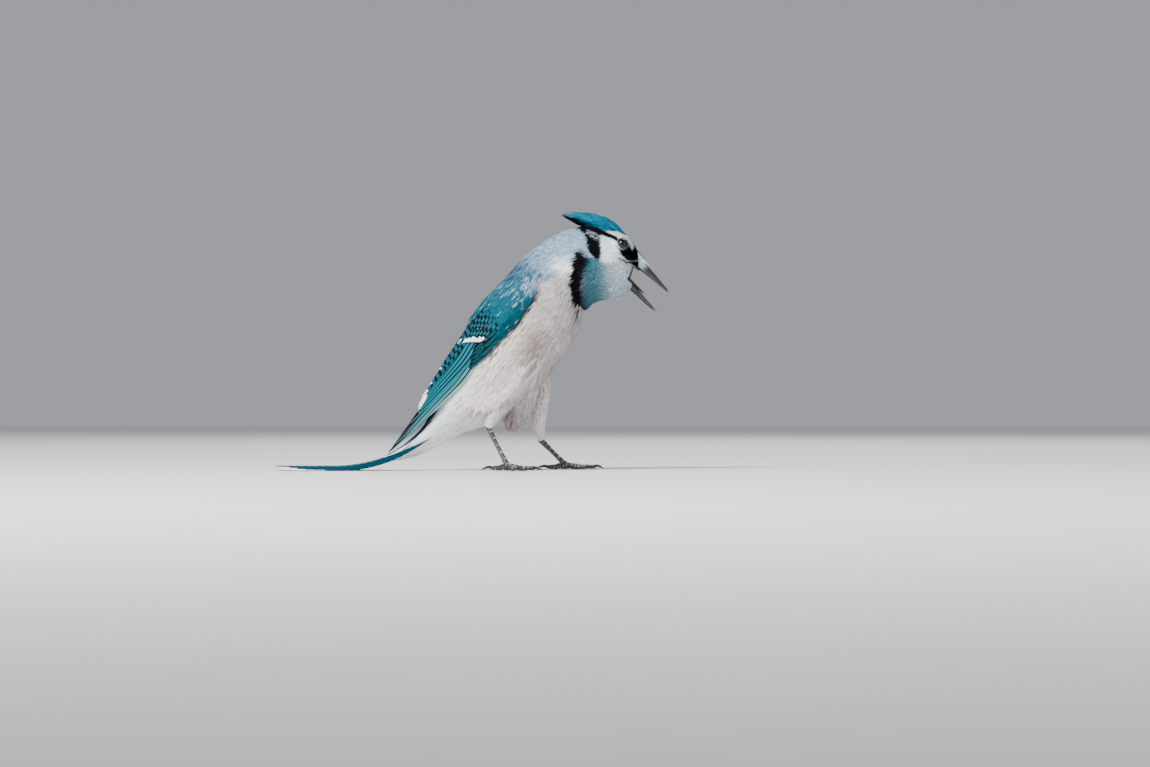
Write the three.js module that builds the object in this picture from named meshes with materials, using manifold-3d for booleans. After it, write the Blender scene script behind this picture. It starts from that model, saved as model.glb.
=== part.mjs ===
// A life-size blue jay, standing on its toes with its tail laid on the floor and its bill open.
// Millimetres, +Z up, bill towards +X, the bird's left side towards +Y, middle plane at Y = 0.
// The origin is on the floor, below the middle of the bird's length.
import * as THREE from "three";
import { mergeVertices } from "three/addons/utils/BufferGeometryUtils.js";
import Module from "manifold-3d";

const wasm = await Module();
wasm.setup();

// Driving sizes
const GAP = 0.3; // between touching nodes
const BODY_TILT = THREE.MathUtils.degToRad(50); // the trunk's axis above the floor
const BODY_CENTRE = [24.9, 72.6]; // x, z of the trunk's middle
const BODY_SIDES = 26;
const BODY_RINGS = 34;
const TAIL_ROOT = [-6.5, 36.8]; // x, z where the tail leaves the rump
const TAIL_SLOPE = THREE.MathUtils.degToRad(52); // of the tail at its root
const TAIL_BEND_LENGTH = 83; // over which the tail comes level with the floor
const TAIL_LENGTH = 118;
const POCKET_DEPTH = 10.8; // of the hollow cut for a folded wing, half of it above the surface
const WING_FRONT = 44; // the wing's bend, along the trunk's axis from its middle
const EYE_CENTRE = [93.6, 11.2, 134.6];
const EYE_RADIUS = 4.1;
const FLOOR_DEPTH = 20;
const LENGTH_MIDDLE = 4.7; // x of the drawing, below, that the origin stands at

// Vector helpers
const V = (x, y, z) => new THREE.Vector3(x, y, z);
const lerp = THREE.MathUtils.lerp;
const clamp = THREE.MathUtils.clamp;

// A value read from a table of [position, value] rows, smooth between them.
function along(table, at) {
  const last = table.length - 1;
  let i = 0;
  while (i < last - 1 && at > table[i + 1][0]) i++;
  const p = (k) => table[clamp(k, 0, last)][1];
  const t = clamp((at - table[i][0]) / (table[i + 1][0] - table[i][0]), 0, 1);
  const [a, b, c, d] = [p(i - 1), p(i), p(i + 1), p(i + 2)];
  const bend = (2 * a - 5 * b + 4 * c - d + (3 * b - a - 3 * c + d) * t) * t;
  return b + 0.5 * t * (c - a + bend);
}

// A solid from rings of points, closed by a fan at each end.
function loft(rings) {
  const sides = rings[0].length;
  const points = rings.flat();
  const faces = [];
  for (let r = 0; r < rings.length - 1; r++)
    for (let k = 0; k < sides; k++) {
      const a = r * sides + k;
      const b = r * sides + ((k + 1) % sides);
      faces.push(a, b, b + sides, a, b + sides, a + sides);
    }
  for (const [r, turn] of [[0, false], [rings.length - 1, true]]) {
    const middle = rings[r].reduce((sum, p) => sum.add(p), V(0, 0, 0)).divideScalar(sides);
    points.push(middle);
    for (let k = 0; k < sides; k++) {
      const a = r * sides + k;
      const b = r * sides + ((k + 1) % sides);
      faces.push(points.length - 1, turn ? a : b, turn ? b : a);
    }
  }
  return solidOfFaces(points, faces);
}

function solidOfFaces(points, faces) {
  const geometry = new THREE.BufferGeometry().setFromPoints(points);
  geometry.setIndex(faces);
  return solid(geometry);
}

// A closed geometry as a solid, turned the right way out.
function solid(geometry) {
  const bare = new THREE.BufferGeometry();
  bare.setAttribute("position", geometry.getAttribute("position"));
  bare.setIndex(geometry.index);
  const merged = mergeVertices(bare, 1e-4);
  const triVerts = new Uint32Array(merged.index.array);
  const vertProperties = new Float32Array(merged.attributes.position.array);
  const make = () => new wasm.Manifold(new wasm.Mesh({ numProp: 3, vertProperties, triVerts }));
  const made = make();
  if (made.volume() > 0) return made;
  for (let i = 0; i < triVerts.length; i += 3)
    [triVerts[i + 1], triVerts[i + 2]] = [triVerts[i + 2], triVerts[i + 1]];
  return make();
}

function joined(solids) {
  return solids.reduce((sum, s) => sum.add(s));
}

// Only the largest closed surface of a solid, with any sealed hollow filled.
function largest(body) {
  const bodies = body.decompose().filter((b) => b.volume() > 0);
  return bodies.reduce((a, b) => (b.volume() > a.volume() ? b : a));
}

// A curved sheet: place(t, s) gives a point of its face and the normal there, t along and s across from -1 to 1.
// The share sunk of its thickness lies below that face.
function sheet(place, steps, across, thick, sunk = 0.5) {
  const rows = steps + 1;
  const columns = across + 1;
  const points = [];
  for (const side of [1 - sunk, -sunk])
    for (let i = 0; i < rows; i++)
      for (let j = 0; j < columns; j++) {
        const t = i / steps;
        const { p, n } = place(t, (2 * j) / across - 1);
        points.push(p.clone().addScaledVector(n, side * thick(t)));
      }
  const under = rows * columns;
  const faces = [];
  for (let i = 0; i < steps; i++)
    for (let j = 0; j < across; j++) {
      const a = i * columns + j;
      const [b, c, d] = [a + 1, a + columns + 1, a + columns];
      faces.push(a, b, c, a, c, d);
      faces.push(under + a, under + c, under + b, under + a, under + d, under + c);
    }
  const rim = [];
  for (let j = 0; j < across; j++) rim.push(j);
  for (let i = 0; i < steps; i++) rim.push(i * columns + across);
  for (let j = across; j > 0; j--) rim.push(steps * columns + j);
  for (let i = steps; i > 0; i--) rim.push(i * columns);
  rim.forEach((a, k) => {
    const b = rim[(k + 1) % rim.length];
    faces.push(a, under + a, under + b, a, under + b, b);
  });
  return solidOfFaces(points, faces);
}

// The half width of a feather's vane, as a share of its widest, from root (0) to tip (1).
const vaneWidth = (t) => Math.min(0.5 + 2.2 * t, 1, 0.32 + 3.2 * Math.sqrt(Math.max(0, 1 - t) / 4));
const vaneThick = (full) => (t) => full * (t > 0.99 ? 0.55 : 1);

// The body: one loft from the under tail coverts to the bill's base

// The tail's curve: the point, the way it heads and its upper side at a length along it.
function tailFrame(s) {
  const steps = 24;
  let [x, z] = TAIL_ROOT;
  const slope = (at) => TAIL_SLOPE * Math.max(0, 1 - at / TAIL_BEND_LENGTH);
  for (let i = 0; i < steps; i++) {
    const middle = ((i + 0.5) / steps) * s;
    x -= (Math.cos(slope(middle)) * s) / steps;
    z -= (Math.sin(slope(middle)) * s) / steps;
  }
  const angle = slope(s);
  return { p: V(x, 0, z), d: V(-Math.cos(angle), 0, -Math.sin(angle)), n: V(-Math.sin(angle), 0, Math.cos(angle)) };
}

// A point of the trunk's own frame: along its axis towards the neck, across to the left, up to the back.
const AXIS = V(Math.cos(BODY_TILT), 0, Math.sin(BODY_TILT));
const BACK = V(-Math.sin(BODY_TILT), 0, Math.cos(BODY_TILT));
const trunk = (a, y, h) =>
  V(BODY_CENTRE[0], y, BODY_CENTRE[1]).addScaledVector(AXIS, a).addScaledVector(BACK, h);

// Each section: its centre [x, z], the way its back faces in degrees, and its reach to the back, front and side.
const section = (centre, lean, back, front, side) => ({ centre, lean, back, front, side });
function trunkSection(a, back, front, side) {
  const c = trunk(a, 0, 0);
  return section([c.x, c.z], 90 + THREE.MathUtils.radToDeg(BODY_TILT), back, front, side);
}
function tailSection(s, back, front, side) {
  const { p, n } = tailFrame(s);
  return section([p.x, p.z], THREE.MathUtils.radToDeg(Math.atan2(n.z, n.x)), back, front, side);
}
const BODY = [
  tailSection(53, 1.2, 1.6, 2.5), // tip of the under tail coverts
  tailSection(40, 2.6, 5.2, 6.5),
  tailSection(26, 4.8, 8.4, 9.5),
  tailSection(11, 9, 11.5, 12.5), // root of the tail
  trunkSection(-47, 16, 17.5, 16.5), // vent and rump
  trunkSection(-31, 21.5, 26, 22.5),
  trunkSection(-13, 25.8, 29.4, 27), // belly
  trunkSection(4, 28.2, 30, 29),
  trunkSection(20, 28.8, 29.2, 28.6), // breast
  trunkSection(34, 28.2, 27.2, 26),
  section([53.2, 110.2], 138, 25.2, 23.4, 22.4), // foot of the neck
  section([60.6, 116.6], 122, 24.5, 24, 20.4),
  section([68.7, 122.1], 114, 23.6, 23.8, 19),
  section([76.8, 124.8], 111, 22.6, 24.2, 18), // back of the head
  section([85.2, 126.6], 109, 23.4, 24.2, 16.8), // crown and cheeks
  section([92.7, 128.1], 107, 21, 21.2, 14.8), // eyes
  section([98.6, 127.2], 102, 15.4, 15.2, 11.6),
  section([102.4, 125.2], 95, 9.6, 9.8, 8),
  section([104.6, 123.6], 90, 4.2, 4.6, 4.4), // feathers round the bill
];

// The section at a place along the body, from 0 at the coverts to 1 at the bill.
function bodySection(t) {
  const at = t * (BODY.length - 1);
  const read = (value) => along(BODY.map((s, i) => [i, value(s)]), at);
  return {
    centre: V(read((s) => s.centre[0]), 0, read((s) => s.centre[1])),
    lean: THREE.MathUtils.degToRad(read((s) => s.lean)),
    back: read((s) => s.back),
    front: read((s) => s.front),
    side: read((s) => s.side),
  };
}

function bodyRing(t, grow) {
  const { centre, lean, back, front, side } = bodySection(t);
  const up = V(Math.cos(lean), 0, Math.sin(lean));
  return Array.from({ length: BODY_SIDES }, (_, k) => {
    const turn = (2 * Math.PI * k) / BODY_SIDES;
    const reach = (Math.cos(turn) > 0 ? back : front) + grow;
    return centre
      .clone()
      .addScaledVector(up, reach * Math.cos(turn))
      .add(V(0, (side + grow) * Math.sin(turn), 0));
  });
}

function bodySolid(grow) {
  return loft(Array.from({ length: BODY_RINGS + 1 }, (_, i) => bodyRing(i / BODY_RINGS, grow)));
}

// A flat slab through the body that parts two nodes, and the half space on its far side.
function halfSpace(point, towards, gap) {
  const box = new THREE.BoxGeometry(400, 400, 400).translate(0, 0, 200 + gap);
  box.applyQuaternion(new THREE.Quaternion().setFromUnitVectors(V(0, 0, 1), towards.clone().normalize()));
  box.translate(point.x, point.y, point.z);
  return solid(box);
}

// The wings: folded along the trunk, in a frame of length behind the bend and height above the lower edge

const WING_BACK = [[0, 27.4], [20, 29.8], [40, 29.6], [60, 27.6], [75, 25.4], [90, 23.2], [105, 21], [120, 19.2], [140, 17.6]];
const WING_SIDE = [[0, 24.4], [20, 29.4], [40, 30.4], [60, 28.6], [75, 25.2], [90, 20.8], [105, 17], [120, 14], [140, 11.2]];
const WING_EDGE = [[0, 61], [6, 70], [12, 75], [25, 78], [40, 78], [60, 75], [75, 70], [90, 62], [105, 53], [120, 44], [140, 30]];
const WING_TOP = [[0, 50], [6, 35], [14, 24], [25, 16], [40, 12], [60, 10], [75, 10], [90, 12], [105, 18], [120, 22], [140, 24]];

// A point on the wing's outer surface, out by off, and its outward normal.
function wingPoint(l, q, off, side) {
  const back = along(WING_BACK, l);
  const wide = along(WING_SIDE, l);
  const turn = THREE.MathUtils.degToRad(along(WING_EDGE, l)) - (2 * q) / (back + wide);
  const p = trunk(WING_FRONT - l, side * (wide + off) * Math.sin(turn), (back + off) * Math.cos(turn));
  const n = BACK.clone().multiplyScalar(Math.cos(turn)).add(V(0, side * Math.sin(turn), 0));
  return { p, n: n.normalize() };
}

// How far the wing reaches above its lower edge, measured round its surface.
function wingSpan(l) {
  const turn = THREE.MathUtils.degToRad(along(WING_EDGE, l) - along(WING_TOP, l));
  return (turn * (along(WING_BACK, l) + along(WING_SIDE, l))) / 2;
}

// A feather on the wing: from root to tip in length and height, its lower edge lifted by tilt.
function wingFeather(side, { root, tip, wide, off, tilt = 0.4, thick = 0.6, steps = 4, sag = 0, across = 1 }) {
  const place = (t, s) => {
    const bow = sag * Math.sin(Math.PI * t);
    const l = lerp(root[0], tip[0], t);
    const q = lerp(root[1], tip[1], t) - bow + s * wide * vaneWidth(t);
    return wingPoint(l, q, off - tilt * s, side);
  };
  return sheet(place, steps, across, vaneThick(thick), 1);
}

const PRIMARY_TIPS = [[116, 1.2], [129, 1.4], [137, 2.6], [132, 3.8], [124, 5.2], [116, 6.6]];
const SECONDARIES = 5;
const TERTIALS = [[99, 12.6, 5.2], [91, 15.2, 5.6], [80, 18.6, 5.8]];
const GREATER_COVERTS = 7;
const MEDIAN_COVERTS = 6;
const LESSER_COVERTS = 5;

function wingFeathers(side) {
  const made = [];
  PRIMARY_TIPS.forEach((tip, k) => {
    const root = [64, 1.9 + 1.35 * k];
    made.push(wingFeather(side, { root, tip, wide: 3.4, off: -2.4 + 0.06 * k, sag: 0.8, thick: 0.8 }));
  });
  for (let k = 0; k < SECONDARIES; k++) {
    const share = k / (SECONDARIES - 1);
    const root = [52 + 3 * share, 9.5 + 10.5 * share];
    const tip = [106 - 2.5 * share, 6.4 + 5 * share];
    made.push(wingFeather(side, { root, tip, wide: 3.8, off: -1.8 + 0.05 * k, thick: 1, steps: 3 }));
  }
  TERTIALS.forEach(([l, q, wide], k) => {
    const root = [42 - 3 * k, 21 + 3.2 * k];
    made.push(wingFeather(side, { root, tip: [l, q], wide, off: -1.2 + 0.3 * k, thick: 1.4, steps: 3, across: 2 }));
  });
  // The outer hand: primary coverts in two lengths, then the alula over them
  for (let k = 0; k < 3; k++)
    made.push(wingFeather(side, { root: [38, 2 + 2.6 * k], tip: [66 - 3 * k, 2.6 + 2.7 * k], wide: 2.6, off: -1.5, steps: 2, thick: 1.6 }));
  for (let k = 0; k < 2; k++)
    made.push(wingFeather(side, { root: [30, 2.6 + 2.6 * k], tip: [57 - 7 * k, 2.8 + 3 * k], wide: 2.7, off: -0.9 + 0.3 * k, steps: 2, thick: 1.8 }));
  // The coverts in their tiers, each row's tips on a slant that climbs to the back
  for (let k = 0; k < GREATER_COVERTS; k++) {
    const share = k / (GREATER_COVERTS - 1);
    const root = [30 + 6 * share, 7.5 + 17 * share];
    const tip = [52 + 11 * share, 8.4 + 15 * share];
    made.push(wingFeather(side, { root, tip, wide: 2.6, off: -0.7, thick: 2, steps: 2 }));
  }
  for (let k = 0; k < MEDIAN_COVERTS; k++) {
    const share = k / (MEDIAN_COVERTS - 1);
    const root = [23 + 5 * share, 7 + 17.5 * share];
    const tip = [40 + 9 * share, 7.6 + 16.5 * share];
    made.push(wingFeather(side, { root, tip, wide: 3, off: -0.2, thick: 2.2, steps: 2 }));
  }
  for (let k = 0; k < LESSER_COVERTS; k++) {
    const share = k / (LESSER_COVERTS - 1);
    const root = [13 + 5 * share, 6.2 + 17 * share];
    const tip = [29 + 7 * share, 6.6 + 17.5 * share];
    made.push(wingFeather(side, { root, tip, wide: 3.4, off: 0.3, thick: 2.4, steps: 2 }));
  }
  return made;
}

// The arm and hand under the feathers: a thick sheet, deepest over the arm.
const CORE_OUT = [[0, -1.2], [12, -0.2], [22, -0.8], [34, -1.6], [46, -2.3], [60, -3], [104, -3.2]];
const CORE_IN = [[0, -4.2], [20, -4.4], [60, -4.4], [104, -4.2]];
function wingCore(side) {
  const length = 98;
  const middle = (l) => (along(CORE_OUT, l) + along(CORE_IN, l)) / 2;
  const place = (t, s) => {
    const l = 0.6 + t * length;
    const span = wingSpan(l);
    return wingPoint(l, 0.6 + ((s + 1) / 2) * (span - 1.4), middle(l), side);
  };
  const thick = (t) => {
    const l = 0.6 + t * length;
    return along(CORE_OUT, l) - along(CORE_IN, l);
  };
  return sheet(place, 8, 4, thick);
}

// The hollow in the trunk's side that a folded wing lies in.
function wingPocket(side) {
  const length = 112;
  const place = (t, s) => {
    const l = -2 + t * length;
    const span = wingSpan(Math.max(l, 0));
    return wingPoint(l, -1.6 + ((s + 1) / 2) * (span + 3.2), 0.4, side);
  };
  return sheet(place, 9, 4, () => POCKET_DEPTH);
}

// The tail: twelve feathers fanned in a low roof, the middle pair on top

const TAIL_PAIRS = 6;
const TAIL_LAYER = 0.45; // from one pair's face down to the next
function tailFeather(pair, side) {
  const length = TAIL_LENGTH - 1.9 * pair - (pair === TAIL_PAIRS - 1 ? 2 : 0);
  const start = 14;
  const place = (t, s) => {
    const at = lerp(start, length, t);
    const { p, n } = tailFrame(at);
    const open = clamp((at - start) / (TAIL_LENGTH - start), 0, 1);
    const middle = side * (1 + 0.75 * pair + open * (2.4 + 1.75 * pair));
    const wide = lerp(4.5, 7.4, Math.min(1, 1.6 * open)) * tailTip(t);
    const y = middle + s * wide;
    const roof = 0.1 * Math.abs(y) * (1 - 0.7 * open);
    const drop = TAIL_LAYER * (pair + (side > 0 ? 0.5 : 0)) + roof;
    return { p: p.clone().add(V(0, y, 0)).addScaledVector(n, 1.1 - drop), n };
  };
  return sheet(place, 7, 2, vaneThick(0.8), 1);
}
const tailTip = (t) => Math.min(1, 0.3 + 2.6 * Math.sqrt(Math.max(0, 1 - t)));

// The short coverts that cover the tail's root, above and below.
const COVERT_ROWS = [
  { above: true, from: 12, to: 36, count: 4, wide: 4.6 },
  { above: false, from: 14, to: 57, count: 4, wide: 4 },
];
function tailCoverts() {
  return COVERT_ROWS.flatMap(({ above, from, to, count, wide }) =>
    Array.from({ length: count }, (_, k) => {
      const share = (2 * k) / (count - 1) - 1;
      const place = (t, s) => {
        const at = lerp(Math.max(from, 12), to - 5 * share * share, t);
        const { p, n } = tailFrame(at);
        const c = coreReach(at);
        const turn = share * 0.95 + (s * wide * vaneWidth(t)) / (c.side + 3);
        const reach = (above ? c.back : c.front) + 0.5;
        const out = above ? n.clone() : n.clone().negate();
        const normal = out.clone().multiplyScalar(Math.cos(turn)).add(V(0, Math.sin(turn), 0));
        return {
          p: p.clone().addScaledVector(out, reach * Math.cos(turn)).add(V(0, (c.side + 0.5) * Math.sin(turn), 0)),
          n: normal,
        };
      };
      return sheet(place, 3, 1, vaneThick(1.8), 1);
    }),
  );
}
// The reach of the covert cone round the tail, which thins out to its tip.
const coreReach = (s) => ({
  back: along([[11, 9], [26, 4.8], [40, 2.6], [53, 1.4]], s),
  front: along([[11, 11.5], [26, 8.4], [40, 5.2], [53, 2.2]], s),
  side: along([[11, 12.5], [26, 9.5], [40, 6.8], [53, 4.4]], s),
});

// The crest: locks in rows from the forehead, laid back over a ridge to a point behind the nape

// The ridge: x, z, half height and half width of its sections, from the forehead to the point.
const RIDGE = [
  [97, 138.5, 1.5, 4], [91, 143.5, 3, 7], [83.5, 147, 4.4, 8], [75, 149, 4.8, 7], [66.5, 151.2, 3.4, 4.6], [58.4, 153.3, 0.7, 0.8],
];
function ridgeFrame(t) {
  const at = t * (RIDGE.length - 1);
  const read = (column, where) => along(RIDGE.map((row, i) => [i, row[column]]), clamp(where, 0, RIDGE.length - 1));
  const d = V(read(0, at + 0.3) - read(0, at - 0.3), 0, read(1, at + 0.3) - read(1, at - 0.3)).normalize();
  return { p: V(read(0, at), 0, read(1, at)), n: V(d.z, 0, -d.x), high: read(2, at), wide: read(3, at) };
}
// A point on the ridge, turned from its top by an angle, out by off.
function ridgePoint(t, turn, off) {
  const { p, n, high, wide } = ridgeFrame(t);
  const normal = n.clone().multiplyScalar(Math.cos(turn)).add(V(0, Math.sin(turn), 0));
  const at = p.clone().addScaledVector(n, (high + off) * Math.cos(turn));
  return { p: at.add(V(0, (wide + off) * Math.sin(turn), 0)), n: normal };
}
function ridge() {
  const sides = 10;
  const ring = (i) => Array.from({ length: sides }, (_, k) => ridgePoint(i / 6, (2 * Math.PI * k) / sides, 0).p);
  return loft(Array.from({ length: 7 }, (_, i) => ring(i)));
}
const CREST_ROWS = [
  { from: 0.4, to: 1, turns: [-1.15, -0.4, 0.4, 1.15], off: 0.35 },
  { from: 0.22, to: 0.82, turns: [-1.4, -0.7, 0, 0.7, 1.4], off: 0.8 },
  { from: 0.04, to: 0.52, turns: [-1, -0.35, 0.35, 1], off: 1.25 },
];
function crestLocks() {
  return CREST_ROWS.flatMap(({ from, to, turns, off }) =>
    turns.map((middle, k) => {
      const end = to - 0.07 * Math.abs(middle) + 0.02 * Math.sin(5 * k);
      const place = (t, s) => {
        const at = lerp(from, end, t);
        return ridgePoint(at, middle + s * 0.42 * vaneWidth(t), off * lerp(0.6, 1, t) - 0.2 * s * s);
      };
      return sheet(place, 3, 1, () => 2, 1);
    }),
  );
}

// The bill: two horny halves, open, with the tongue between them

// One half of the bill as a loft: [x, z] at each place, its depth above and below, its half width.
function billHalf(places, grow) {
  const sides = 12;
  return loft(
    places.map(([x, z, above, below, wide], i) => {
      const [ax, az] = places[Math.max(0, i - 1)];
      const [bx, bz] = places[Math.min(places.length - 1, i + 1)];
      const d = V(bx - ax, 0, bz - az).normalize();
      const up = V(-d.z, 0, d.x);
      const shift = i === 0 ? -grow : i === places.length - 1 ? grow : 0;
      return Array.from({ length: sides }, (_, k) => {
        const turn = (2 * Math.PI * k) / sides;
        const high = Math.cos(turn) > 0 ? above : below;
        return V(x, 0, z)
          .addScaledVector(d, shift)
          .addScaledVector(up, (high + grow) * Math.cos(turn))
          .add(V(0, (wide + grow) * Math.sin(turn), 0));
      });
    }),
  );
}
const UPPER_BILL = [
  [99.5, 126.2, 4.6, 2.4, 5], [104, 122.6, 4.1, 2, 4.4], [108.6, 118.8, 3.4, 1.6, 3.6],
  [113.2, 114.7, 2.6, 1.2, 2.7], [117.6, 110.6, 1.7, 0.8, 1.8], [120.8, 107.9, 0.9, 0.6, 1], [122.7, 106.1, 0.4, 0.35, 0.45],
];
const LOWER_BILL = [
  [96.6, 113.4, 1.7, 3, 4.4], [100.4, 109.8, 1.5, 2.6, 3.9], [104.6, 105.6, 1.2, 2.1, 3],
  [108.8, 101.2, 0.9, 1.6, 2.1], [112.4, 97.4, 0.7, 1, 1.3], [115.2, 94.6, 0.35, 0.4, 0.5],
];

// The open mouth's side view, cut right through the feathers, and the throat behind it.
const MOUTH = [[97, 121.8], [104, 117.8], [114, 108], [110, 104], [99.4, 113.4], [97.4, 115]];
function mouthCut() {
  const shape = new THREE.Shape(MOUTH.map(([x, z]) => new THREE.Vector2(x, z)));
  const geometry = new THREE.ExtrudeGeometry(shape, { depth: 40, bevelEnabled: false });
  geometry.rotateX(Math.PI / 2).translate(0, 20, 0);
  geometry.deleteAttribute("normal");
  geometry.deleteAttribute("uv");
  const slit = solid(mergeVertices(geometry, 1e-4));
  const throat = solidSphere(V(96.2, 0, 118.4), 1, [4.6, 3.6, 2.9]);
  return slit.add(throat);
}

function tongueSolid() {
  const root = V(98.2, 0, 116.2);
  const tip = V(107.6, 0, 106.4);
  const d = tip.clone().sub(root);
  const n = V(-d.z, 0, d.x).normalize().multiplyScalar(1);
  const place = (t, s) => ({
    p: root.clone().addScaledVector(d, t).add(V(0, s * lerp(1.7, 0.5, t * t), 0)).addScaledVector(n, 0.5 * Math.sin(Math.PI * t)),
    n,
  });
  return sheet(place, 6, 2, (t) => lerp(1, 0.5, t));
}

function solidSphere(centre, radius, stretch = [1, 1, 1], parts = 14) {
  const ball = new THREE.SphereGeometry(radius, parts, Math.round(parts * 0.65));
  ball.deleteAttribute("normal");
  ball.deleteAttribute("uv");
  ball.scale(...stretch).translate(centre.x, centre.y, centre.z);
  return solid(mergeVertices(ball, 1e-4));
}

// The ring of lids, flat against the side of the head.
function lidRing(side) {
  const ring = new THREE.TorusGeometry(EYE_RADIUS - 0.5, 0.8, 5, 12);
  ring.deleteAttribute("normal");
  ring.deleteAttribute("uv");
  ring.rotateX(Math.PI / 2).rotateZ(-side * 0.28).rotateX(side * 0.34);
  ring.translate(EYE_CENTRE[0] + 0.5, side * (EYE_CENTRE[1] + 2.2), EYE_CENTRE[2] + 0.6);
  return solid(mergeVertices(ring, 1e-4));
}

// Short stiff feathers that lie forward over the bill's root and its nostrils.
function nasalTufts() {
  const made = [];
  for (const side of [-1, 1])
    for (let k = 0; k < 2; k++) {
      const from = V(99.8 + 0.6 * k, side * (4.3 - 2.3 * k), 129.6 + 2.6 * k);
      const to = V(107.4 - 0.4 * k, side * (3.5 - 2.1 * k), 122.8 + 2 * k);
      const n = V(0.45, side * (0.9 - 0.5 * k), 0.5 + 0.3 * k).normalize();
      const d = to.clone().sub(from).normalize();
      const wide = d.clone().cross(n).normalize();
      const place = (t, s) => ({
        p: from.clone().lerp(to, t).addScaledVector(wide, s * 1.7 * vaneWidth(t)).addScaledVector(n, 0.3 * Math.sin(Math.PI * t)),
        n,
      });
      made.push(sheet(place, 2, 1, (t) => lerp(1.6, 0.5, t), 0.8));
    }
  return made;
}

// Legs: feathered shank above the ankle, bare scaled leg, and a foot of four toes with claws

// A tube along points with a radius at each, its section flat across the middle plane by a share.
function limb(points, radii, sides, flat = 1, steps = points.length * 2) {
  const path = new THREE.CatmullRomCurve3(points);
  const table = radii.map((r, i) => [i / (radii.length - 1), r]);
  const rings = [];
  for (let i = 0; i <= steps; i++) {
    const t = i / steps;
    const d = path.getTangent(t);
    const side = V(0, 1, 0).addScaledVector(d, -d.y).normalize();
    const up = side.clone().cross(d);
    const r = along(table, t);
    rings.push(
      Array.from({ length: sides }, (_, k) => {
        const turn = (2 * Math.PI * k) / sides;
        return path
          .getPoint(t)
          .addScaledVector(up, r * Math.cos(turn))
          .addScaledVector(side, r * flat * Math.sin(turn));
      }),
    );
  }
  return loft(rings);
}

// The near leg is the right one. Each leg: the feathered thigh's line and radii, the ankle, and the ball of the foot.
const LEGS = {
  right: {
    side: -1,
    thigh: [[24, -13, 50], [20, -15, 40], [16.8, -15.4, 32], [14.4, -15.4, 25.8]],
    bulk: [8.5, 7, 4.8, 2.1],
    ankle: [14.2, -15.4, 25],
    ball: [25.6, -24.5, 3.2],
    heading: -32,
  },
  left: {
    side: 1,
    thigh: [[49.5, 11, 57], [47.4, 12, 47], [44.4, 12.6, 36], [44, 13, 26], [46.2, 13.2, 17.6]],
    bulk: [7, 4.2, 5, 4.4, 2],
    ankle: [46.4, 13.2, 16.6],
    ball: [59.8, 25, 3.2],
    heading: 18,
  },
};
const TOES = [
  { name: "inner", turn: -34, length: 12.5, claw: 6.4, thick: 1.35 },
  { name: "middle", turn: 0, length: 17.5, claw: 7, thick: 1.5 },
  { name: "outer", turn: 32, length: 13.5, claw: 6.2, thick: 1.35 },
  { name: "hind", turn: 180, length: 9.5, claw: 8.6, thick: 1.6 },
];
const SCUTES = 8;

// The bare leg: a tapered tube under a row of plates, each one's lower rim standing out in front.
function shank({ ankle, ball, side }) {
  const a = V(...ankle);
  const b = V(...ball);
  const steps = SCUTES * 2;
  const d = b.clone().sub(a).normalize();
  const out = V(0, side, 0).addScaledVector(d, -side * d.y).normalize();
  const front = out.clone().cross(d).multiplyScalar(side);
  const rings = [];
  for (let i = 0; i <= steps; i++) {
    const t = i / steps;
    const plate = i % 2;
    const r = along([[0, 1.9], [0.18, 1.35], [0.6, 1.25], [1, 1.75]], t);
    rings.push(
      Array.from({ length: 10 }, (_, k) => {
        const turn = (2 * Math.PI * k) / 10;
        const rim = 0.28 * plate * Math.max(0, Math.cos(turn));
        return a
          .clone()
          .lerp(b, t)
          .addScaledVector(front, (r * 1.12 + rim) * Math.cos(turn))
          .addScaledVector(out, r * 0.9 * Math.sin(turn));
      }),
    );
  }
  return loft(rings);
}

// One toe from the ball to its claw's root, with a swelling at each joint, and the claw beyond it.
function toeLine({ ball, heading, side }, toe) {
  const turn = THREE.MathUtils.degToRad(heading + side * toe.turn);
  const d = V(Math.cos(turn), Math.sin(turn), 0);
  const from = V(ball[0], ball[1], 2.4).addScaledVector(d, 0.6);
  const at = (share, z) => from.clone().addScaledVector(d, share * toe.length).setZ(z);
  return { d, from, at };
}
function toeSolid(leg, toe) {
  const { at } = toeLine(leg, toe);
  const r = toe.thick;
  const line = [at(0, 2.4), at(0.3, 2.2), at(0.55, 1.35), at(0.8, 1.6), at(1, 1.4)];
  return limb(line, [1.45 * r, 1.05 * r, 1.12 * r, 0.86 * r, 1.02 * r, 0.7 * r], 8, 1, 6);
}
function clawSolid(leg, toe) {
  const { d, at } = toeLine(leg, toe);
  const base = at(1, 1.5).addScaledVector(d, GAP);
  const out = (far, z) => base.clone().addScaledVector(d, far * toe.claw).setZ(z);
  const line = [out(0, 1.5), out(0.3, 2.1), out(0.62, 1.7), out(0.86, 0.75), out(0.96, 0.3)];
  return limb(line, [0.95, 0.85, 0.62, 0.36, 0.2], 6, 0.72, 5);
}

function footSolid(leg) {
  const pad = solidSphere(V(leg.ball[0], leg.ball[1], 2), 1, [3, 2.6, 2.3], 10);
  return joined([pad, ...TOES.map((toe) => toeSolid(leg, toe))]);
}

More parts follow.
